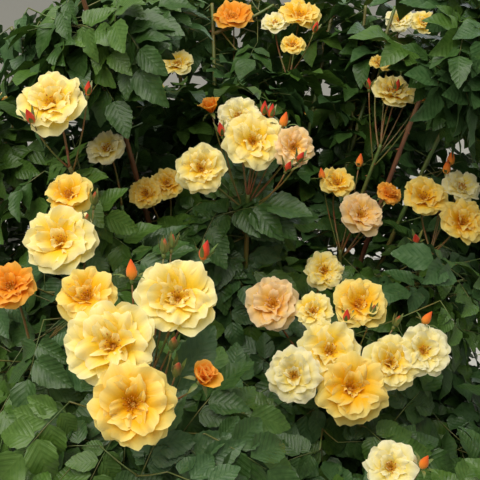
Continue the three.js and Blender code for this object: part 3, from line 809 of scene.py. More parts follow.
def turned(vectors, axis, angle):
    """Vectors turned about an axis, each by its own angle."""
    angle = np.asarray(angle)[:, None]
    return (vectors * np.cos(angle) + np.cross(axis, vectors) * np.sin(angle)
            + axis * (axis * vectors).sum(axis=1, keepdims=True) * (1 - np.cos(angle)))


leaf_heaps = {tint: Heap() for tint in LEAF_TINTS}
count = len(leaves)
for along, angle, share, third_pair in LEAFLET_SPOTS:
    spread = np.radians(angle + random_leaves.uniform(*LEAFLET_POSE["spread"], count))
    way = turned(leaf_way, leaf_face, spread)
    if angle == 0:
        way = unit(way - UP * 2 * LEAF["sag"])
    more = LEAFLET_POSE["side_hang"] if angle else 0
    hang = np.radians(random_leaves.uniform(*LEAFLET_POSE["hang"], count) + more)
    across = unit(np.cross(leaf_face, way))
    way = turned(way, across, hang)
    face = np.cross(way, across)
    roll = np.radians(random_leaves.uniform(*LEAFLET_POSE["roll"], count))
    across, face = turned(across, way, roll), turned(face, way, roll)
    scale = LEAF["blade"] * leaf_size * share * random_leaves.uniform(*LEAFLET_POSE["size"], count)
    origin = stalk_line(along) + way * LEAFLET_POSE["off_stalk"]
    variant = random_leaves.integers(0, VARIANTS, count)
    present = (leaf_pairs == 3) | (not third_pair)
    for fine in (True, False):
        for number, (corners, faces, uv) in enumerate(shapes["fine" if fine else "plain"]):
            for tint_number, tint in enumerate(LEAF_TINTS):
                chosen = present & (variant == number) & (leaf_tint == tint_number) & (leaf_fine == fine)
                local = corners[None] * scale[chosen, None, None]
                points = (origin[chosen, None] + local[..., :1] * way[chosen, None]
                          + local[..., 1:2] * across[chosen, None] + local[..., 2:] * face[chosen, None])
                leaf_heaps[tint].add(points, [faces], uv)

stalks = Heap()
stalk_lines = np.stack([stalk_line(along) for along in (0, 0.5, 1)], axis=1)
add_tubes(stalks, stalk_lines, np.outer(leaf_size, np.linspace(*STALK_RADII, 3)), 3)
print("leaflet triangles:", sum(triangle_count(heap) for heap in leaf_heaps.values()))

# %% [markdown]
# Leaf cuticle is a waxy skin over a blade that is pleated along its side veins. That gives the eye a dark
# green with a soft, broad, greyish shine, broken by the pleats. The veins are drawn in the leaflet's own
# map: the distance from the rib, and lines that run from the rib towards the edge and the tip. Side veins
# are about 6 mm apart on a 54 mm leaflet, which is seven or eight of them. Waxy cuticle has an IOR of
# about 1.45.

# %% Leaf materials
LEAF_COLOURS = {
    "leaf_deep": ("#294719", "#58773a"), "leaf_green": ("#38581b", "#68853a"),
    "leaf_blue_green": ("#305028", "#64824e"), "leaf_young": ("#41601f", "#6a873a"),
}
VEINS = {"count": 7, "lean": -0.9, "line_from": 0.78, "rib": 0.008, "rib_end": 0.035, "paler": 0.26}
LEAF_SKIN = {"mottle": 0.3, "gloss": 0.34, "matt": 0.5, "ior": 1.45, "through": 0.12}


def end_thin(tree, skin, colour, share):
    """Ends a thin material: a share of the light comes through it in its own colour."""
    through = add_node(tree, "BsdfTranslucent", {"Color": colour})
    both = add_node(tree, "MixShader", {0: share, 1: skin, 2: through})
    add_node(tree, "OutputMaterial", {"Surface": both})


def leaf_material(name):
    """A leaflet's skin: the side veins are waves of the distance from the rib and along it."""
    blade, vein = (linear(colour) for colour in LEAF_COLOURS[name])
    made, tree = new_material(name)
    spot = add_node(tree, "UVMap", uv_map=STACKED_MAP)
    apart = add_node(tree, "SeparateXYZ", {0: spot}).outputs
    side = add_node(tree, "Math", {0: apart["X"], 1: 0.5}, operation="SUBTRACT")
    off = add_node(tree, "Math", {0: side}, operation="ABSOLUTE")
    lean = add_node(tree, "Math", {0: off, 1: VEINS["lean"], 2: apart["Y"]}, operation="MULTIPLY_ADD")
    turn = add_node(tree, "Math", {0: lean, 1: VEINS["count"] * TAU}, operation="MULTIPLY")
    pleat = add_node(tree, "Math", {0: turn}, operation="COSINE")
    line = add_node(tree, "MapRange", {"Value": pleat, "From Min": VEINS["line_from"]})
    rib = add_node(tree, "MapRange", {"Value": off, "From Min": VEINS["rib_end"], "From Max": VEINS["rib"]})
    veins = add_node(tree, "Math", {0: line, 1: rib}, operation="MAXIMUM")
    paler = add_node(tree, "Math", {0: veins, 1: VEINS["paler"]}, operation="MULTIPLY")
    mottle = add_node(tree, "TexNoise", {"Vector": spot, "Scale": 7.0, "Detail": 3.0}).outputs["Fac"]
    patches = {"Value": mottle, "From Min": 0.3, "From Max": 0.7}
    shade = add_node(tree, "MapRange", {**patches, "To Min": 0.0, "To Max": LEAF_SKIN["mottle"]})
    gloss = add_node(tree, "MapRange",
                     {**patches, "To Min": LEAF_SKIN["gloss"], "To Max": LEAF_SKIN["matt"]})
    tone = add_node(tree, "Math", {0: paler, 1: shade}, operation="MAXIMUM")
    colour = add_node(tree, "Mix", {"Factor": tone, 6: blade, 7: vein}, data_type="RGBA").outputs[2]
    height = add_node(tree, "Math", {0: veins, 1: -0.8, 2: pleat}, operation="MULTIPLY_ADD")
    bump = add_node(tree, "Bump", {"Height": height, "Strength": 0.3, "Distance": 0.6 * MM})
    skin = add_node(tree, "BsdfPrincipled",
                    {"Base Color": colour, "Roughness": gloss, "IOR": LEAF_SKIN["ior"], "Normal": bump})
    end_thin(tree, skin, colour, LEAF_SKIN["through"])
    return made


for tint, heap in leaf_heaps.items():
    name = "leaflets_" + tint.removeprefix("leaf_")
    build(name, heap, leaf_material(tint), MASSES, stacked=True)

# %% [markdown]
# Cane bark on a rose is a smooth green skin that turns brown and reddish with age and sun, ringed at each
# old leaf scar. The relief is in the mesh: rings swell at the scars, three low ridges run up the cane,
# and small unevenness breaks the outline. The bends are those of the solids, and so are the radii of
# canes and side shoots. The stems above them taper a little more than the solids do.

# %% Bark relief of canes, side shoots and stems
RING_STEP = 8
SCAR = {"spacing": 52, "swell": 0.1, "length": 5}
# Waves round a limb: their share of its radius, their count all round, and the length over which they turn.
RIDGES = [(0.03, 3, 90), (0.025, 5, -23), (0.02, 2, 9)]


def relief_tube(heap, curve, start, end, foot, tip, sides, phase):
    """A limb along part of a curve, with the bark's relief in its rings."""
    run = curve_length(curve) * (end - start)
    rows = max(4, int(run / RING_STEP))
    line = bezier(curve, np.linspace(start, end, rows))
    along = np.linspace(0, run, rows)
    to_scar = (along + phase * 17) % SCAR["spacing"]
    to_scar = np.minimum(to_scar, SCAR["spacing"] - to_scar)
    radius = np.linspace(foot, tip, rows) * (1 + SCAR["swell"] * np.exp(-(to_scar / SCAR["length"]) ** 2))
    rings = tubes(line[None], radius[None], sides)[0]
    turn = turns(sides)
    wobble = sum(depth * np.sin(count * turn + along[:, None] / length + order * phase)
                 for order, (depth, count, length) in enumerate(RIDGES, 1))
    rings = line[:, None] + (rings - line[:, None]) * (1 + wobble[..., None])
    heap.add(rings.reshape(1, -1, 3), tube_faces(rows, sides))
    return line, radius


RED_CANES = ("tall_left", "tall_right", "front_right", "centre", "left_back")
cane_heaps = {"green": Heap(), "red": Heap()}
stem_heaps = {"green": Heap(), "red": Heap()}
limb_lines = []
for number, shoot in enumerate(shoots):
    cane_heap = cane_heaps["red" if shoot["name"] in RED_CANES else "green"]
    stem_heap = stem_heaps["red" if "tall" in shoot["name"] else "green"]
    limb = SIDE_LIMB if shoot["low"] else CANE
    stem, end = shoot["stem"], shoot["share"]
    parts = [(cane_heap, stem, 0, end, limb["foot"], limb["tip"], 10, number),
             (stem_heap, stem, end - STEM["overlap"], 1, limb["tip"], STEM["tip"], 8, number + 0.5)]
    parts += [(stem_heap, carrier["curve"], 0, 1, STEM["branch_foot"], STEM["branch_tip"], 8, number + 0.7)
              for carrier in shoot["carriers"][1:]]
    limb_lines += [relief_tube(*part) for part in parts]

twig_heap = Heap()
twig_lines = [bezier(twig["curve"], np.linspace(0, 1, 4)) for twig in twigs]
twig_radii = [np.linspace(TWIG["foot"], TWIG["tip"], 4) * (TWIG["second_share"] if twig["second"] else 1)
              for twig in twigs]
add_tubes(twig_heap, twig_lines, twig_radii, 3)
print("limbs:", len(limb_lines), "twigs:", len(twig_lines))

# %% [markdown]
# The woody foot is a lathe profile from the root flare to the knuckle that the canes spring from, as in
# the solid, cut flat at ground level. Old rose bark is grey-brown and splits along the stem, so the
# relief is a noise that is stretched upwards. It fades to nothing at the cut.

# %% Woody foot
BASE = {"flare": 50, "neck": 34, "neck_height": 38, "knuckle": 45, "knuckle_height": 72, "height": 102}
BASE_LOBES = {"count": 3, "depth": 0.05}
BASE_RELIEF = {"depth": 2.6, "sunk": 0.4, "fade_height": 8, "across": 5, "upwards": 26}
BASE_SIDES, BASE_ROWS = 80, 52


def woody_foot():
    """The rings of the woody foot, with the bark's relief."""
    profile = np.array([
        (BASE["flare"], 0), (BASE["flare"] - 5, 12), (BASE["neck"], BASE["neck_height"]),
        (BASE["knuckle"] - 3, BASE["knuckle_height"] - 14), (BASE["knuckle"], BASE["knuckle_height"]),
        (BASE["knuckle"] - 8, BASE["height"] - 11), (BASE["knuckle"] * 0.5, BASE["height"]),
        (2, BASE["height"] + 1)])
    run = run_along(profile)
    at = np.linspace(0, run[-1], BASE_ROWS)
    radius, height = np.interp(at, run, profile[:, 0]), np.interp(at, run, profile[:, 1])
    heading = turns(BASE_SIDES)
    lobes = 1 + BASE_LOBES["depth"] * np.sin(BASE_LOBES["count"] * heading)
    rings = np.zeros((BASE_ROWS, BASE_SIDES, 3))
    wide = BASE_RELIEF["across"]
    for i in range(BASE_ROWS):
        fade = min(1, height[i] / BASE_RELIEF["fade_height"])
        for j in range(BASE_SIDES):
            spot = Vector((math.cos(heading[j]) * wide, math.sin(heading[j]) * wide,
                           height[i] / BASE_RELIEF["upwards"]))
            depth = noise.fractal(spot, 0.7, 2.2, 4) * BASE_RELIEF["depth"] * fade
            out = radius[i] * lobes[j] - BASE_RELIEF["depth"] * BASE_RELIEF["sunk"] * fade + depth
            rings[i, j] = (out * math.cos(heading[j]), out * math.sin(heading[j]), height[i])
    return rings.reshape(1, -1, 3)


base_heap = Heap()
base_heap.add(woody_foot(), tube_faces(BASE_ROWS, BASE_SIDES))
print("foot triangles:", triangle_count(base_heap))

# %% [markdown]
# Prickles stand on canes and stems every few centimetres, each a flattened hook that points a little
# down. One is made of four shrinking rings, the last of them nearly a point and bent down, and placed
# along every limb by the golden angle.

# %% Prickles
PRICKLE = {"length": 5.5, "width": 1.5, "height": 2.4, "spacing": 30, "hook": 1.6}
PRICKLE_ROWS, PRICKLE_SIDES = 4, 4


def prickle(spot, along, out, thick):
    """The corners of a prickle that stands out from a limb of some thickness, its point bent down."""
    size = 0.6 + 0.4 * thick / CANE["foot"]
    across = np.cross(along, out)
    turn = turns(PRICKLE_SIDES)
    rings = []
    for row in range(PRICKLE_ROWS):
        share = row / (PRICKLE_ROWS - 1)
        middle = spot + out * (thick * 0.9 + share * PRICKLE["length"] * size)
        middle = middle - along * PRICKLE["hook"] * size * share ** 2
        shrink = (1 - share) ** 1.3 + 0.03
        rings.append(middle + np.outer(np.cos(turn), along) * PRICKLE["height"] * size * shrink
                     + np.outer(np.sin(turn), -across) * PRICKLE["width"] * size * shrink / 2)
    return np.concatenate(rings)


def prickles():
    """The corners of every prickle, along all limbs."""
    made = []
    for number, (line, radius) in enumerate(limb_lines):
        run = run_along(line)
        for k in range(int(run[-1] / PRICKLE["spacing"])):
            at = (k + 0.5 + 0.3 * math.sin(k * 7 + number)) * PRICKLE["spacing"]
            spot, ahead = (np.array([np.interp(far, run, line[:, axis]) for axis in range(3)])
                           for far in (at, at + 3))
            along = unit(ahead - spot) if at + 3 < run[-1] else unit(line[-1] - line[-2])
            turn = number + k * GOLDEN_ANGLE
            side = unit(np.cross(along, level(number)))
            out = side * math.cos(turn) + np.cross(along, side) * math.sin(turn)
            made.append(prickle(spot, along, out, np.interp(at, run, radius)))
    return np.array(made)


prickle_heap = Heap()
prickle_heap.add(prickles(), tube_faces(PRICKLE_ROWS, PRICKLE_SIDES))
print("prickle triangles:", triangle_count(prickle_heap))

# %% [markdown]
# Bark and skin materials. Old bark is dry and matt, so it is rough, with a coarse grain that runs
# upwards. Cane skin has a thin wax on it, so it shines softly, and its colour drifts over a few
# centimetres: from green to olive brown on most canes, and among reddish browns on some. Young shoots and
# leaf stalks are green with a warm flush. Wood and skin take an IOR of about 1.5.

# %% Bark and skin materials
def skin_material(name, colours, roughness, patch_mm, grain_mm, depth_mm, stretch=1.0):
    """A skin or bark: the colour drifts in patches, and the relief has a grain. Both may be stretched
    upwards."""
    made, tree = new_material(name)
    spot = add_node(tree, "TexCoord").outputs["Object"]
    longer = add_node(tree, "Mapping", {"Vector": spot, "Scale": (1.0, 1.0, 1.0 / stretch)})
    patch = add_node(tree, "TexNoise", {"Vector": longer, "Scale": 1 / (patch_mm * MM), "Detail": 3.0})
    grain = add_node(tree, "TexNoise", {"Vector": longer, "Scale": 1 / (grain_mm * MM), "Detail": 4.0})
    ramp = add_node(tree, "ValToRGB", {0: patch.outputs["Fac"]})
    for element, position, colour in zip(ramp.color_ramp.elements, (0.35, 0.65), colours):
        element.position, element.color = position, linear(colour)
    grain = grain.outputs["Fac"]
    bump = add_node(tree, "Bump", {"Height": grain, "Strength": 0.6, "Distance": depth_mm * MM})
    gloss = add_node(tree, "MapRange",
                     {"Value": grain, "To Min": roughness - 0.1, "To Max": roughness + 0.1})
    skin = add_node(tree, "BsdfPrincipled",
                    {"Base Color": ramp, "Roughness": gloss, "IOR": 1.5, "Normal": bump})
    add_node(tree, "OutputMaterial", {"Surface": skin})
    return made


old_bark = skin_material("old_bark", ("#4a3d30", "#85735d"), 0.85, 12, 5, 1.5, stretch=4)
green_skin = skin_material("cane_skin_green", ("#4e5a2c", "#6f6a3c"), 0.45, 40, 3, 0.3, stretch=2)
red_skin = skin_material("cane_skin_red", ("#5e3526", "#7c5838"), 0.42, 45, 3, 0.3, stretch=2)
shoot_skin = skin_material("shoot_skin", ("#4f6a2e", "#70602f"), 0.45, 35, 2, 0.15)
stalk_skin = skin_material("leaf_stalk_skin", ("#46612c", "#6a6a38"), 0.5, 30, 2, 0.1)
prickle_horn = skin_material("prickle_horn", ("#7a3a28", "#a0673f"), 0.4, 20, 2, 0.05)

build("woody_base_bark", base_heap, old_bark, ["woody_base"])
build("canes_green", cane_heaps["green"], green_skin, CANE_NODES)
build("canes_red", cane_heaps["red"], red_skin, CANE_NODES)
build("stems_green", stem_heaps["green"], shoot_skin, MASSES)
build("stems_red", stem_heaps["red"], red_skin, MASSES)
build("twigs", twig_heap, shoot_skin, MASSES)
build("leaf_stalks", stalks, stalk_skin, MASSES)
build("prickles", prickle_heap, prickle_horn, CANE_NODES)

# %% [markdown]
# A bloom of this kind is a loose double cup. Broad outer petals lie open and roll back at the rim, and
# each ring further in stands steeper, is narrower and more ruffled, down to small petals that fold over
# the stamens. One petal is a grid: rows from its claw to its rim follow an arc that bends outwards,
# columns fan out across it, and the rim is rounded, notched and waved. The petals of a ring differ by
# seeded chance.

# %% Petals
# Each ring: petals, length and width as shares of the bloom's width, the angles from the bloom's axis at
# the claw and at the rim in degrees, the cup across the petal, the ruffle as a share of the width, and how
# much its petals differ.
OPEN_RINGS = [
    (5, 0.50, 0.52, 50, 114, 0.12, 0.030, 0.9), (6, 0.49, 0.44, 42, 94, 0.22, 0.040, 1.1),
    (5, 0.42, 0.36, 36, 78, 0.34, 0.045, 1.4), (5, 0.33, 0.26, 30, 70, 0.50, 0.048, 1.9),
    (4, 0.22, 0.17, 22, 64, 0.70, 0.040, 2.2),
]
OPENING_RINGS = [
    (3, 0.66, 0.56, 14, 78, 0.30, 0.020, 1.6), (5, 0.62, 0.56, 8, 26, 0.42, 0.016, 0.8),
    (4, 0.60, 0.46, 4, 10, 0.55, 0.014, 0.5),
]
PETAL = {"rounding": 0.24, "receptacle": 0.02, "roll": 30, "roll_from": 0.72, "claw_share": 0.2,
         "widest_at": 0.78}
# The arc of a petal is worked out in fine steps, and a little past the rim.
ARC = {"end": 1.1, "steps": 33}


def petal_ring(ring, rows, columns, random):
    """The petals of one ring as grids of points round +Z, for a bloom 1 wide whose petals grow from 0."""
    count, length, width, claw_angle, rim_angle, cup, ruffle, differ = ring

    def vary(spread):
        return random.uniform(-spread, spread, (count, 1, 1))

    along = np.linspace(0, 1, rows)[None, :, None]
    aside = np.linspace(-1, 1, columns)[None, None, :]
    long = length * (1 + vary(0.07) * differ)
    waves = 0.028 * np.sin(aside * 4.2 + vary(3.1)) + 0.02 * np.sin(aside * 8.4 + vary(3.1))
    notch = (0.035 + vary(0.035)) * np.exp(-((aside - vary(0.25)) / 0.3) ** 2)
    reach = along * (1 - PETAL["rounding"] * np.abs(aside) ** 2.3 - along * notch + along * waves)
    claw = np.radians(claw_angle + vary(8) * differ)
    rim = np.radians(rim_angle + vary(14) * differ)
    roll = np.radians(PETAL["roll"] + vary(34)) * (claw_angle > 12)
    # The angle of the petal along its arc, and where it has come to at each step.
    fine = np.linspace(0, ARC["end"], ARC["steps"] + 1)[None, :]
    rolled = np.clip((fine - PETAL["roll_from"]) / (1 - PETAL["roll_from"]), 0, 1.3) ** 2
    angle = claw[:, 0] + (rim - claw)[:, 0] * fine ** 1.3 + roll[:, 0] * rolled
    out = np.cumsum(np.sin(angle), axis=1) * ARC["end"] / ARC["steps"]
    rise = np.cumsum(np.cos(angle), axis=1) * ARC["end"] / ARC["steps"]
    index = np.clip(reach / ARC["end"] * ARC["steps"], 0, ARC["steps"] - 0.001)
    below = index.astype(int)
    part = index - below

    def pick(table):
        low, high = (np.take_along_axis(table, (below + more).reshape(count, -1), 1).reshape(below.shape)
                     for more in (0, 1))
        return low * (1 - part) + high * part

    radial, height, tilt = pick(out) * long + PETAL["receptacle"], pick(rise) * long, pick(angle)
    # From side to side: the half width, narrow at the claw, then the cup, the ruffle and a slow wave.
    fan = np.sin(np.clip(along / PETAL["widest_at"], 0, 1) * math.pi / 2) ** 1.1
    half = width / 2 * (1 + vary(0.11) * differ) * (PETAL["claw_share"] + (1 - PETAL["claw_share"]) * fan)
    tangential = aside * half * (1 - 0.25 * np.clip(along - 0.8, 0, 1))
    lift = cup * half * aside ** 2 * (1 - 0.5 * along)
    folds = np.sin(aside * (3.6 + vary(1.0)) + vary(3.1)) + 0.55 * np.sin(aside * 8.6 + vary(3.1))
    lift = lift + ruffle * along ** 2 * folds
    lift = lift + 0.012 * np.sin(along * 7 + vary(3.1)) * along
    radial, height = radial - lift * np.cos(tilt), height + lift * np.sin(tilt)
    heading = turns(count)[:, None, None] + vary(0.16) * differ + random.uniform(0, TAU)
    x = radial * np.cos(heading) - tangential * np.sin(heading)
    y = radial * np.sin(heading) + tangential * np.cos(heading)
    uv = np.stack(np.broadcast_arrays(0.5 + 0.49 * aside, 0.005 + 0.99 * along), -1).reshape(-1, 2)
    return np.stack([x, y, height], -1).reshape(count, -1, 3), uv


def frame_on(axis, turn):
    """Three directions with the last along an axis, turned about it."""
    side = unit(np.cross(axis, [0.2, 1.0, 0.1]))
    third = np.cross(axis, side)
    first = side * math.cos(turn) + third * math.sin(turn)
    return np.array([first, np.cross(axis, first), axis])


print("petals of an open bloom:", sum(ring[0] for ring in OPEN_RINGS))

# %% [markdown]
# Blooms in view have the tint that the plan gives them, and the others are dealt one. Young ones are
# apricot or gold, most are yellow with a pale rim, and old ones have faded to cream or have a blush.
# Under each bloom is a swollen hip with five sepals that bend back, and in its heart a low dome with
# golden threads that have brown tips, the stamens.

# %% Blooms with hips, sepals and stamens
random_blooms = np.random.default_rng(11)
PETAL_TINTS = ["petal_yellow", "petal_gold", "petal_cream", "petal_blush", "petal_apricot"]
petal_heaps = {tint: Heap() for tint in PETAL_TINTS}
green_heap, stalk_heap, thread_heap, anther_heap = Heap(), Heap(), Heap(), Heap()
DEPTH_OF_CUP = 0.24
USUAL_WIDTH = 80
HIP = {"radius": 4.2, "length": 8.5}
SEPAL = {"length": 21, "width": 6, "rows": 6}
STALK_RADIUS = {"bloom": 1.7, "bud": 1.2}
STAMENS = 14
PETAL_GRIDS = {"near": (9, 13), "seen": (8, 11), "unseen": (7, 8), "opening": (8, 9)}


def lathe(profile, sides):
    """Rings of a turned shape: profile is a list of radius and height."""
    circle = [(math.cos(turn), math.sin(turn)) for turn in turns(sides)]
    return np.array([(radius * x, radius * y, height) for radius, height in profile for x, y in circle])


def add_one(heap, local, axes, origin, faces, uv=None):
    """Adds one shape to a heap, turned onto a frame at an origin."""
    heap.add((local @ axes + origin)[None], faces, uv)


def add_hip(origin, axes, scale):
    """A green hip whose top is at the origin."""
    profile = [(0.9, -1.1), (2.2, -0.95), (HIP["radius"], -0.5), (3.6, -0.12), (3.0, 0.1)]
    shape = lathe([(radius * scale, height * HIP["length"] * scale) for radius, height in profile], 8)
    add_one(green_heap, shape, axes, origin, tube_faces(len(profile), 8))


def add_sepals(origin, axes, length, angles, start):
    """Five narrow sepals from a ring, each bending from the first angle off the axis to the second."""
    rows = SEPAL["rows"]
    along = np.linspace(0, 1, rows)[:, None]
    aside = np.array([-1.0, 0.0, 1.0])[None]
    for k in range(5):
        tilt = np.radians(angles[0] + (angles[1] - angles[0]) * along + random_blooms.uniform(-8, 8))
        out = start + np.cumsum(np.sin(tilt), axis=0) * length / rows
        rise = np.cumsum(np.cos(tilt), axis=0) * length / rows
        taper = np.sin(math.pi * np.clip(0.16 + 0.84 * along, 0, 1)) ** 0.7 * (1 - along * 0.6)
        half = SEPAL["width"] / 2 * taper + 0.1
        heading = k / 5 * TAU + random_blooms.uniform(-0.1, 0.1)
        lift = 0.25 * half * aside ** 2
        radial, across = out - lift * np.cos(tilt), aside * half
        local = np.stack([radial * math.cos(heading) - across * math.sin(heading),
                          radial * math.sin(heading) + across * math.cos(heading),
                          rise + lift * np.sin(tilt)], -1).reshape(-1, 3)
        add_one(green_heap, local, axes, origin, [grid_faces(rows, 3)])


def add_stamens(origin, axes, width):
    """The threads in the heart of a bloom, their tips, and the dome they stand on."""
    turn = np.arange(STAMENS) * GOLDEN_ANGLE
    lean = np.radians(6 + 30 * np.sqrt((np.arange(STAMENS) + 0.5) / STAMENS))
    out = np.stack([np.sin(lean) * np.cos(turn), np.sin(lean) * np.sin(turn), np.cos(lean)], -1)
    length = width * random_blooms.uniform(0.11, 0.17, STAMENS)[:, None]
    base = out * [1, 1, 0] * width * 0.03
    tips = base + out * length + [0, 0, width * 0.04]
    lines = np.stack([base, (base + tips) / 2 + [0, 0, width * 0.015], tips], axis=1) @ axes + origin
    add_tubes(thread_heap, lines, np.full((STAMENS, 3), 0.32), 3)
    ends = np.stack([tips - out * 1.3, tips, tips + out * 1.3], axis=1) @ axes + origin
    add_tubes(anther_heap, ends, np.tile([0.5, 1.1, 0.4], (STAMENS, 1)), 3)
    dome = lathe([(0.06 * width, 0.004 * width), (0.045 * width, 0.025 * width), (0.3, 0.034 * width)], 8)
    add_one(thread_heap, dome, axes, origin, tube_faces(3, 8))


def add_hip_and_stalk(root, hip_top, axes, facing, scale, radius):
    """A hip, and the stalk that leaves the truss, bows outwards and meets the hip along its axis."""
    add_hip(hip_top, axes, scale)
    end = hip_top - facing * HIP["length"] * scale
    knee = end - facing * np.linalg.norm(end - root) * 0.45
    line = bezier((root, knee, end), np.linspace(0, 1, 9))
    add_tubes(stalk_heap, line[None], np.linspace(radius, radius * 0.8, 9)[None], 6)


def add_petals(heap, origin, axes, width, rings, rows, columns):
    for ring in rings:
        local, uv = petal_ring(ring, rows, columns, random_blooms)
        heap.add(local * width @ axes + origin, [grid_faces(rows, columns)], uv)


def tint_by_chance(chance):
    """The tint of a bloom at the back or the sides."""
    return "yellow" if chance < 0.4 else "gold" if chance < 0.7 else "cream" if chance < 0.85 else "blush"


for number, bloom in enumerate(blooms):
    width, facing = bloom["width"], bloom["facing"]
    origin = bloom["middle"] - facing * width * DEPTH_OF_CUP
    axes = frame_on(facing, number * 2.1)
    chance = random_blooms.uniform()
    tint = "petal_" + (bloom["tint"] or tint_by_chance(chance))
    grid = PETAL_GRIDS["near" if bloom["near"] else "seen" if bloom["seen"] else "unseen"]
    add_petals(petal_heaps[tint], origin, axes, width, OPEN_RINGS, *grid)
    add_stamens(origin, axes, width)
    hip_top, scale = origin - facing, width / USUAL_WIDTH
    add_hip_and_stalk(bloom["root"], hip_top, axes, facing, scale, STALK_RADIUS["bloom"])
    add_sepals(hip_top, axes, SEPAL["length"] * scale, (80, 150), 2.6)
print("petal triangles:", sum(triangle_count(heap) for heap in petal_heaps.values()))

# %% [markdown]
# A bud is a pointed egg of petals wound round each other. The shape is turned, and a spiral step in its
# rings is the edge of each wound petal. Young buds are wrapped in their sepals and are mostly green,
# older ones show scarlet and then orange with the sepals bent away, and the last stage is a small
# half-open bloom.

# %% Buds
BUD_SIDES, BUD_ROWS = 14, 11
BUD_STAGES = {
    "green": {"heap": Heap(), "fat": 0.25, "sepals": (16, 2), "sepal_length": 1.15},
    "red": {"heap": Heap(), "fat": 0.25, "sepals": (26, 34), "sepal_length": 1.0},
    "orange": {"heap": Heap(), "fat": 0.26, "sepals": (45, 100), "sepal_length": 0.9},
}
BUD_HIP_SCALE = 0.62


def bud_shape(length, fat, phase):
    """The corners and map of a bud that points along +Z."""
    turn = turns(BUD_SIDES)
    along = np.linspace(0, 1, BUD_ROWS)[:, None]
    egg = np.sin(math.pi * np.clip(along * 0.97 + 0.03, 0, 1) ** 0.72) ** 0.85 * (1.1 - 0.3 * along)
    wound = (turn[None] / TAU * 3 + along * 1.1 + phase) % 1
    radius = length * fat * egg * (0.93 + 0.14 * wound) + 0.15
    x, y = radius * np.cos(turn + along * 0.9), radius * np.sin(turn + along * 0.9)
    uv = np.stack(np.broadcast_arrays(turn[None] / TAU, along * 0.99 + 0.005), -1).reshape(-1, 2)
    return np.stack([x, y, along * length + 0 * x], -1).reshape(-1, 3), uv


for number, bud in enumerate(buds):
    length, facing = bud["length"], bud["facing"]
    axes = frame_on(facing, number * 1.3)
    base = bud["middle"] - facing * length * 0.5
    if bud["stage"] == "opening":
        grid = PETAL_GRIDS["opening"]
        add_petals(petal_heaps["petal_apricot"], base, axes, length * 1.25, OPENING_RINGS, *grid)
        add_sepals(base, axes, 16, (90, 150), 2.4)
    else:
        stage = BUD_STAGES[bud["stage"]]
        shape, uv = bud_shape(length, stage["fat"], number * 0.37)
        add_one(stage["heap"], shape, axes, base, tube_faces(BUD_ROWS, BUD_SIDES), uv)
        add_sepals(base, axes, length * stage["sepal_length"], stage["sepals"], length * stage["fat"] * 0.8)
    add_hip_and_stalk(bud["root"], base, axes, facing, BUD_HIP_SCALE, STALK_RADIUS["bud"])
print("bud triangles:", {name: triangle_count(stage["heap"]) for name, stage in BUD_STAGES.items()})

# %% [markdown]
# Petals are thin living skin with a velvety surface of tiny cells that swallow most of the shine: a faint
# sheen is left, and light that comes through from behind makes the heart glow. The colour runs from a
# deep golden claw over yellow to a pale rim. Fine veins run up each petal, about 1.5 mm apart on a 40 mm
# petal.

# %% Petal materials
PETAL_COLOURS = {
    "petal_yellow": [(0.0, "#f8b004"), (0.34, "#fbcf08"), (0.62, "#fbe040"), (0.94, "#fbf3bc")],
    "petal_gold": [(0.0, "#f5a002"), (0.4, "#f9c104"), (0.68, "#fbd32a"), (0.97, "#fbeb9a")],
    "petal_cream": [(0.0, "#f8b406"), (0.28, "#fad61a"), (0.5, "#f9e764"), (0.88, "#f8f3ce")],
    "petal_blush": [(0.0, "#f5a408"), (0.36, "#f9bf14"), (0.62, "#f8cf60"), (0.94, "#f7e0b8")],
    "petal_apricot": [(0.0, "#e67c06"), (0.42, "#f2980a"), (0.78, "#f5ab28"), (1.0, "#f6c262")],
}
PETAL_VEINS = 26
PETAL_SKIN = {"streak": 0.16, "gloss": 0.5, "matt": 0.66, "ior": 1.4, "specular": 0.2}


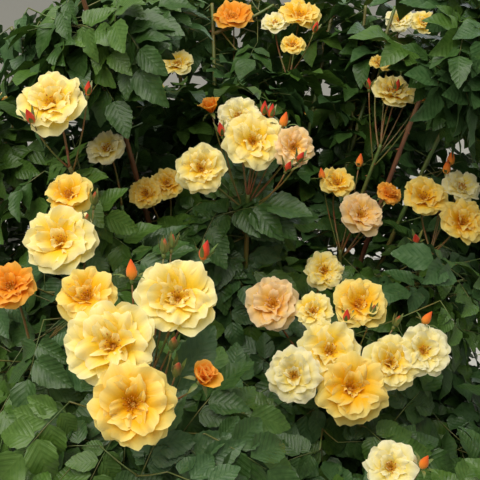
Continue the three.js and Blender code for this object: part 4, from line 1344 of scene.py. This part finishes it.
def petal_material(name, stops, sheen, through):
    """A petal's skin: the colour runs along the map through the stops, and the veins streak it."""
    made, tree = new_material(name)
    spot = add_node(tree, "UVMap", uv_map=STACKED_MAP)
    apart = add_node(tree, "SeparateXYZ", {0: spot}).outputs
    drawn = add_node(tree, "Mapping", {"Vector": spot, "Scale": (PETAL_VEINS, 2.2, 1)})
    streak = add_node(tree, "TexNoise", {"Vector": drawn, "Scale": 1.0, "Detail": 2.0}).outputs["Fac"]
    depth = PETAL_SKIN["streak"]
    shift = add_node(tree, "Math", {0: streak, 1: depth, 2: -depth / 2}, operation="MULTIPLY_ADD")
    along = add_node(tree, "Math", {0: apart["Y"], 1: shift}, operation="ADD")
    ramp = add_node(tree, "ValToRGB", {0: along})
    ramp.color_ramp.interpolation = "B_SPLINE"
    elements = ramp.color_ramp.elements
    while len(elements) < len(stops):
        elements.new(0.5)
    for element, (position, colour) in zip(elements, stops):
        element.position, element.color = position, linear(colour)
    bump = add_node(tree, "Bump", {"Height": streak, "Strength": 0.35, "Distance": 0.4 * MM})
    gloss = add_node(tree, "MapRange",
                     {"Value": streak, "To Min": PETAL_SKIN["gloss"], "To Max": PETAL_SKIN["matt"]})
    skin = add_node(tree, "BsdfPrincipled",
                    {"Base Color": ramp, "Roughness": gloss, "IOR": PETAL_SKIN["ior"],
                     "Specular IOR Level": PETAL_SKIN["specular"], "Sheen Weight": sheen,
                     "Sheen Roughness": 0.5, "Normal": bump})
    end_thin(tree, skin, ramp, through)
    return made


for tint, heap in petal_heaps.items():
    skin = petal_material(tint, PETAL_COLOURS[tint], 0.05, 0.45)
    build("petals_" + tint.removeprefix("petal_"), heap, skin, MASSES, stacked=True)

BUD_COLOURS = {
    "green": [(0.0, "#5d7434"), (0.6, "#77783a"), (0.85, "#b5502c"), (1.0, "#8f3524")],
    "red": [(0.0, "#e8963a"), (0.25, "#dd5a2a"), (0.7, "#c8321f"), (1.0, "#a8231c")],
    "orange": [(0.0, "#f0b04a"), (0.3, "#ec8a26"), (0.75, "#e2641f"), (1.0, "#d24a20")],
}
for name, stage in BUD_STAGES.items():
    skin = petal_material("bud_" + name, BUD_COLOURS[name], 0.15, 0.1)
    build(f"bud_{name}s", stage["heap"], skin, MASSES, stacked=True)

sepal_skin = skin_material("sepal_skin", ("#4c6a2c", "#77763c"), 0.5, 9, 1.5, 0.1)
pedicel_skin = skin_material("flower_stalk_skin", ("#5c6b2e", "#84502f"), 0.45, 30, 1.5, 0.1)
thread_skin = skin_material("stamen_thread", ("#d9951c", "#e8b63a"), 0.5, 3, 1, 0.02)
pollen = skin_material("anther_pollen", ("#b5651c", "#dc9c2e"), 0.8, 2, 0.5, 0.05)
build("hips_and_sepals", green_heap, sepal_skin, MASSES)
build("flower_stalks", stalk_heap, pedicel_skin, MASSES)
build("stamen_threads", thread_heap, thread_skin, MASSES)
build("stamen_tips", anther_heap, pollen, MASSES)
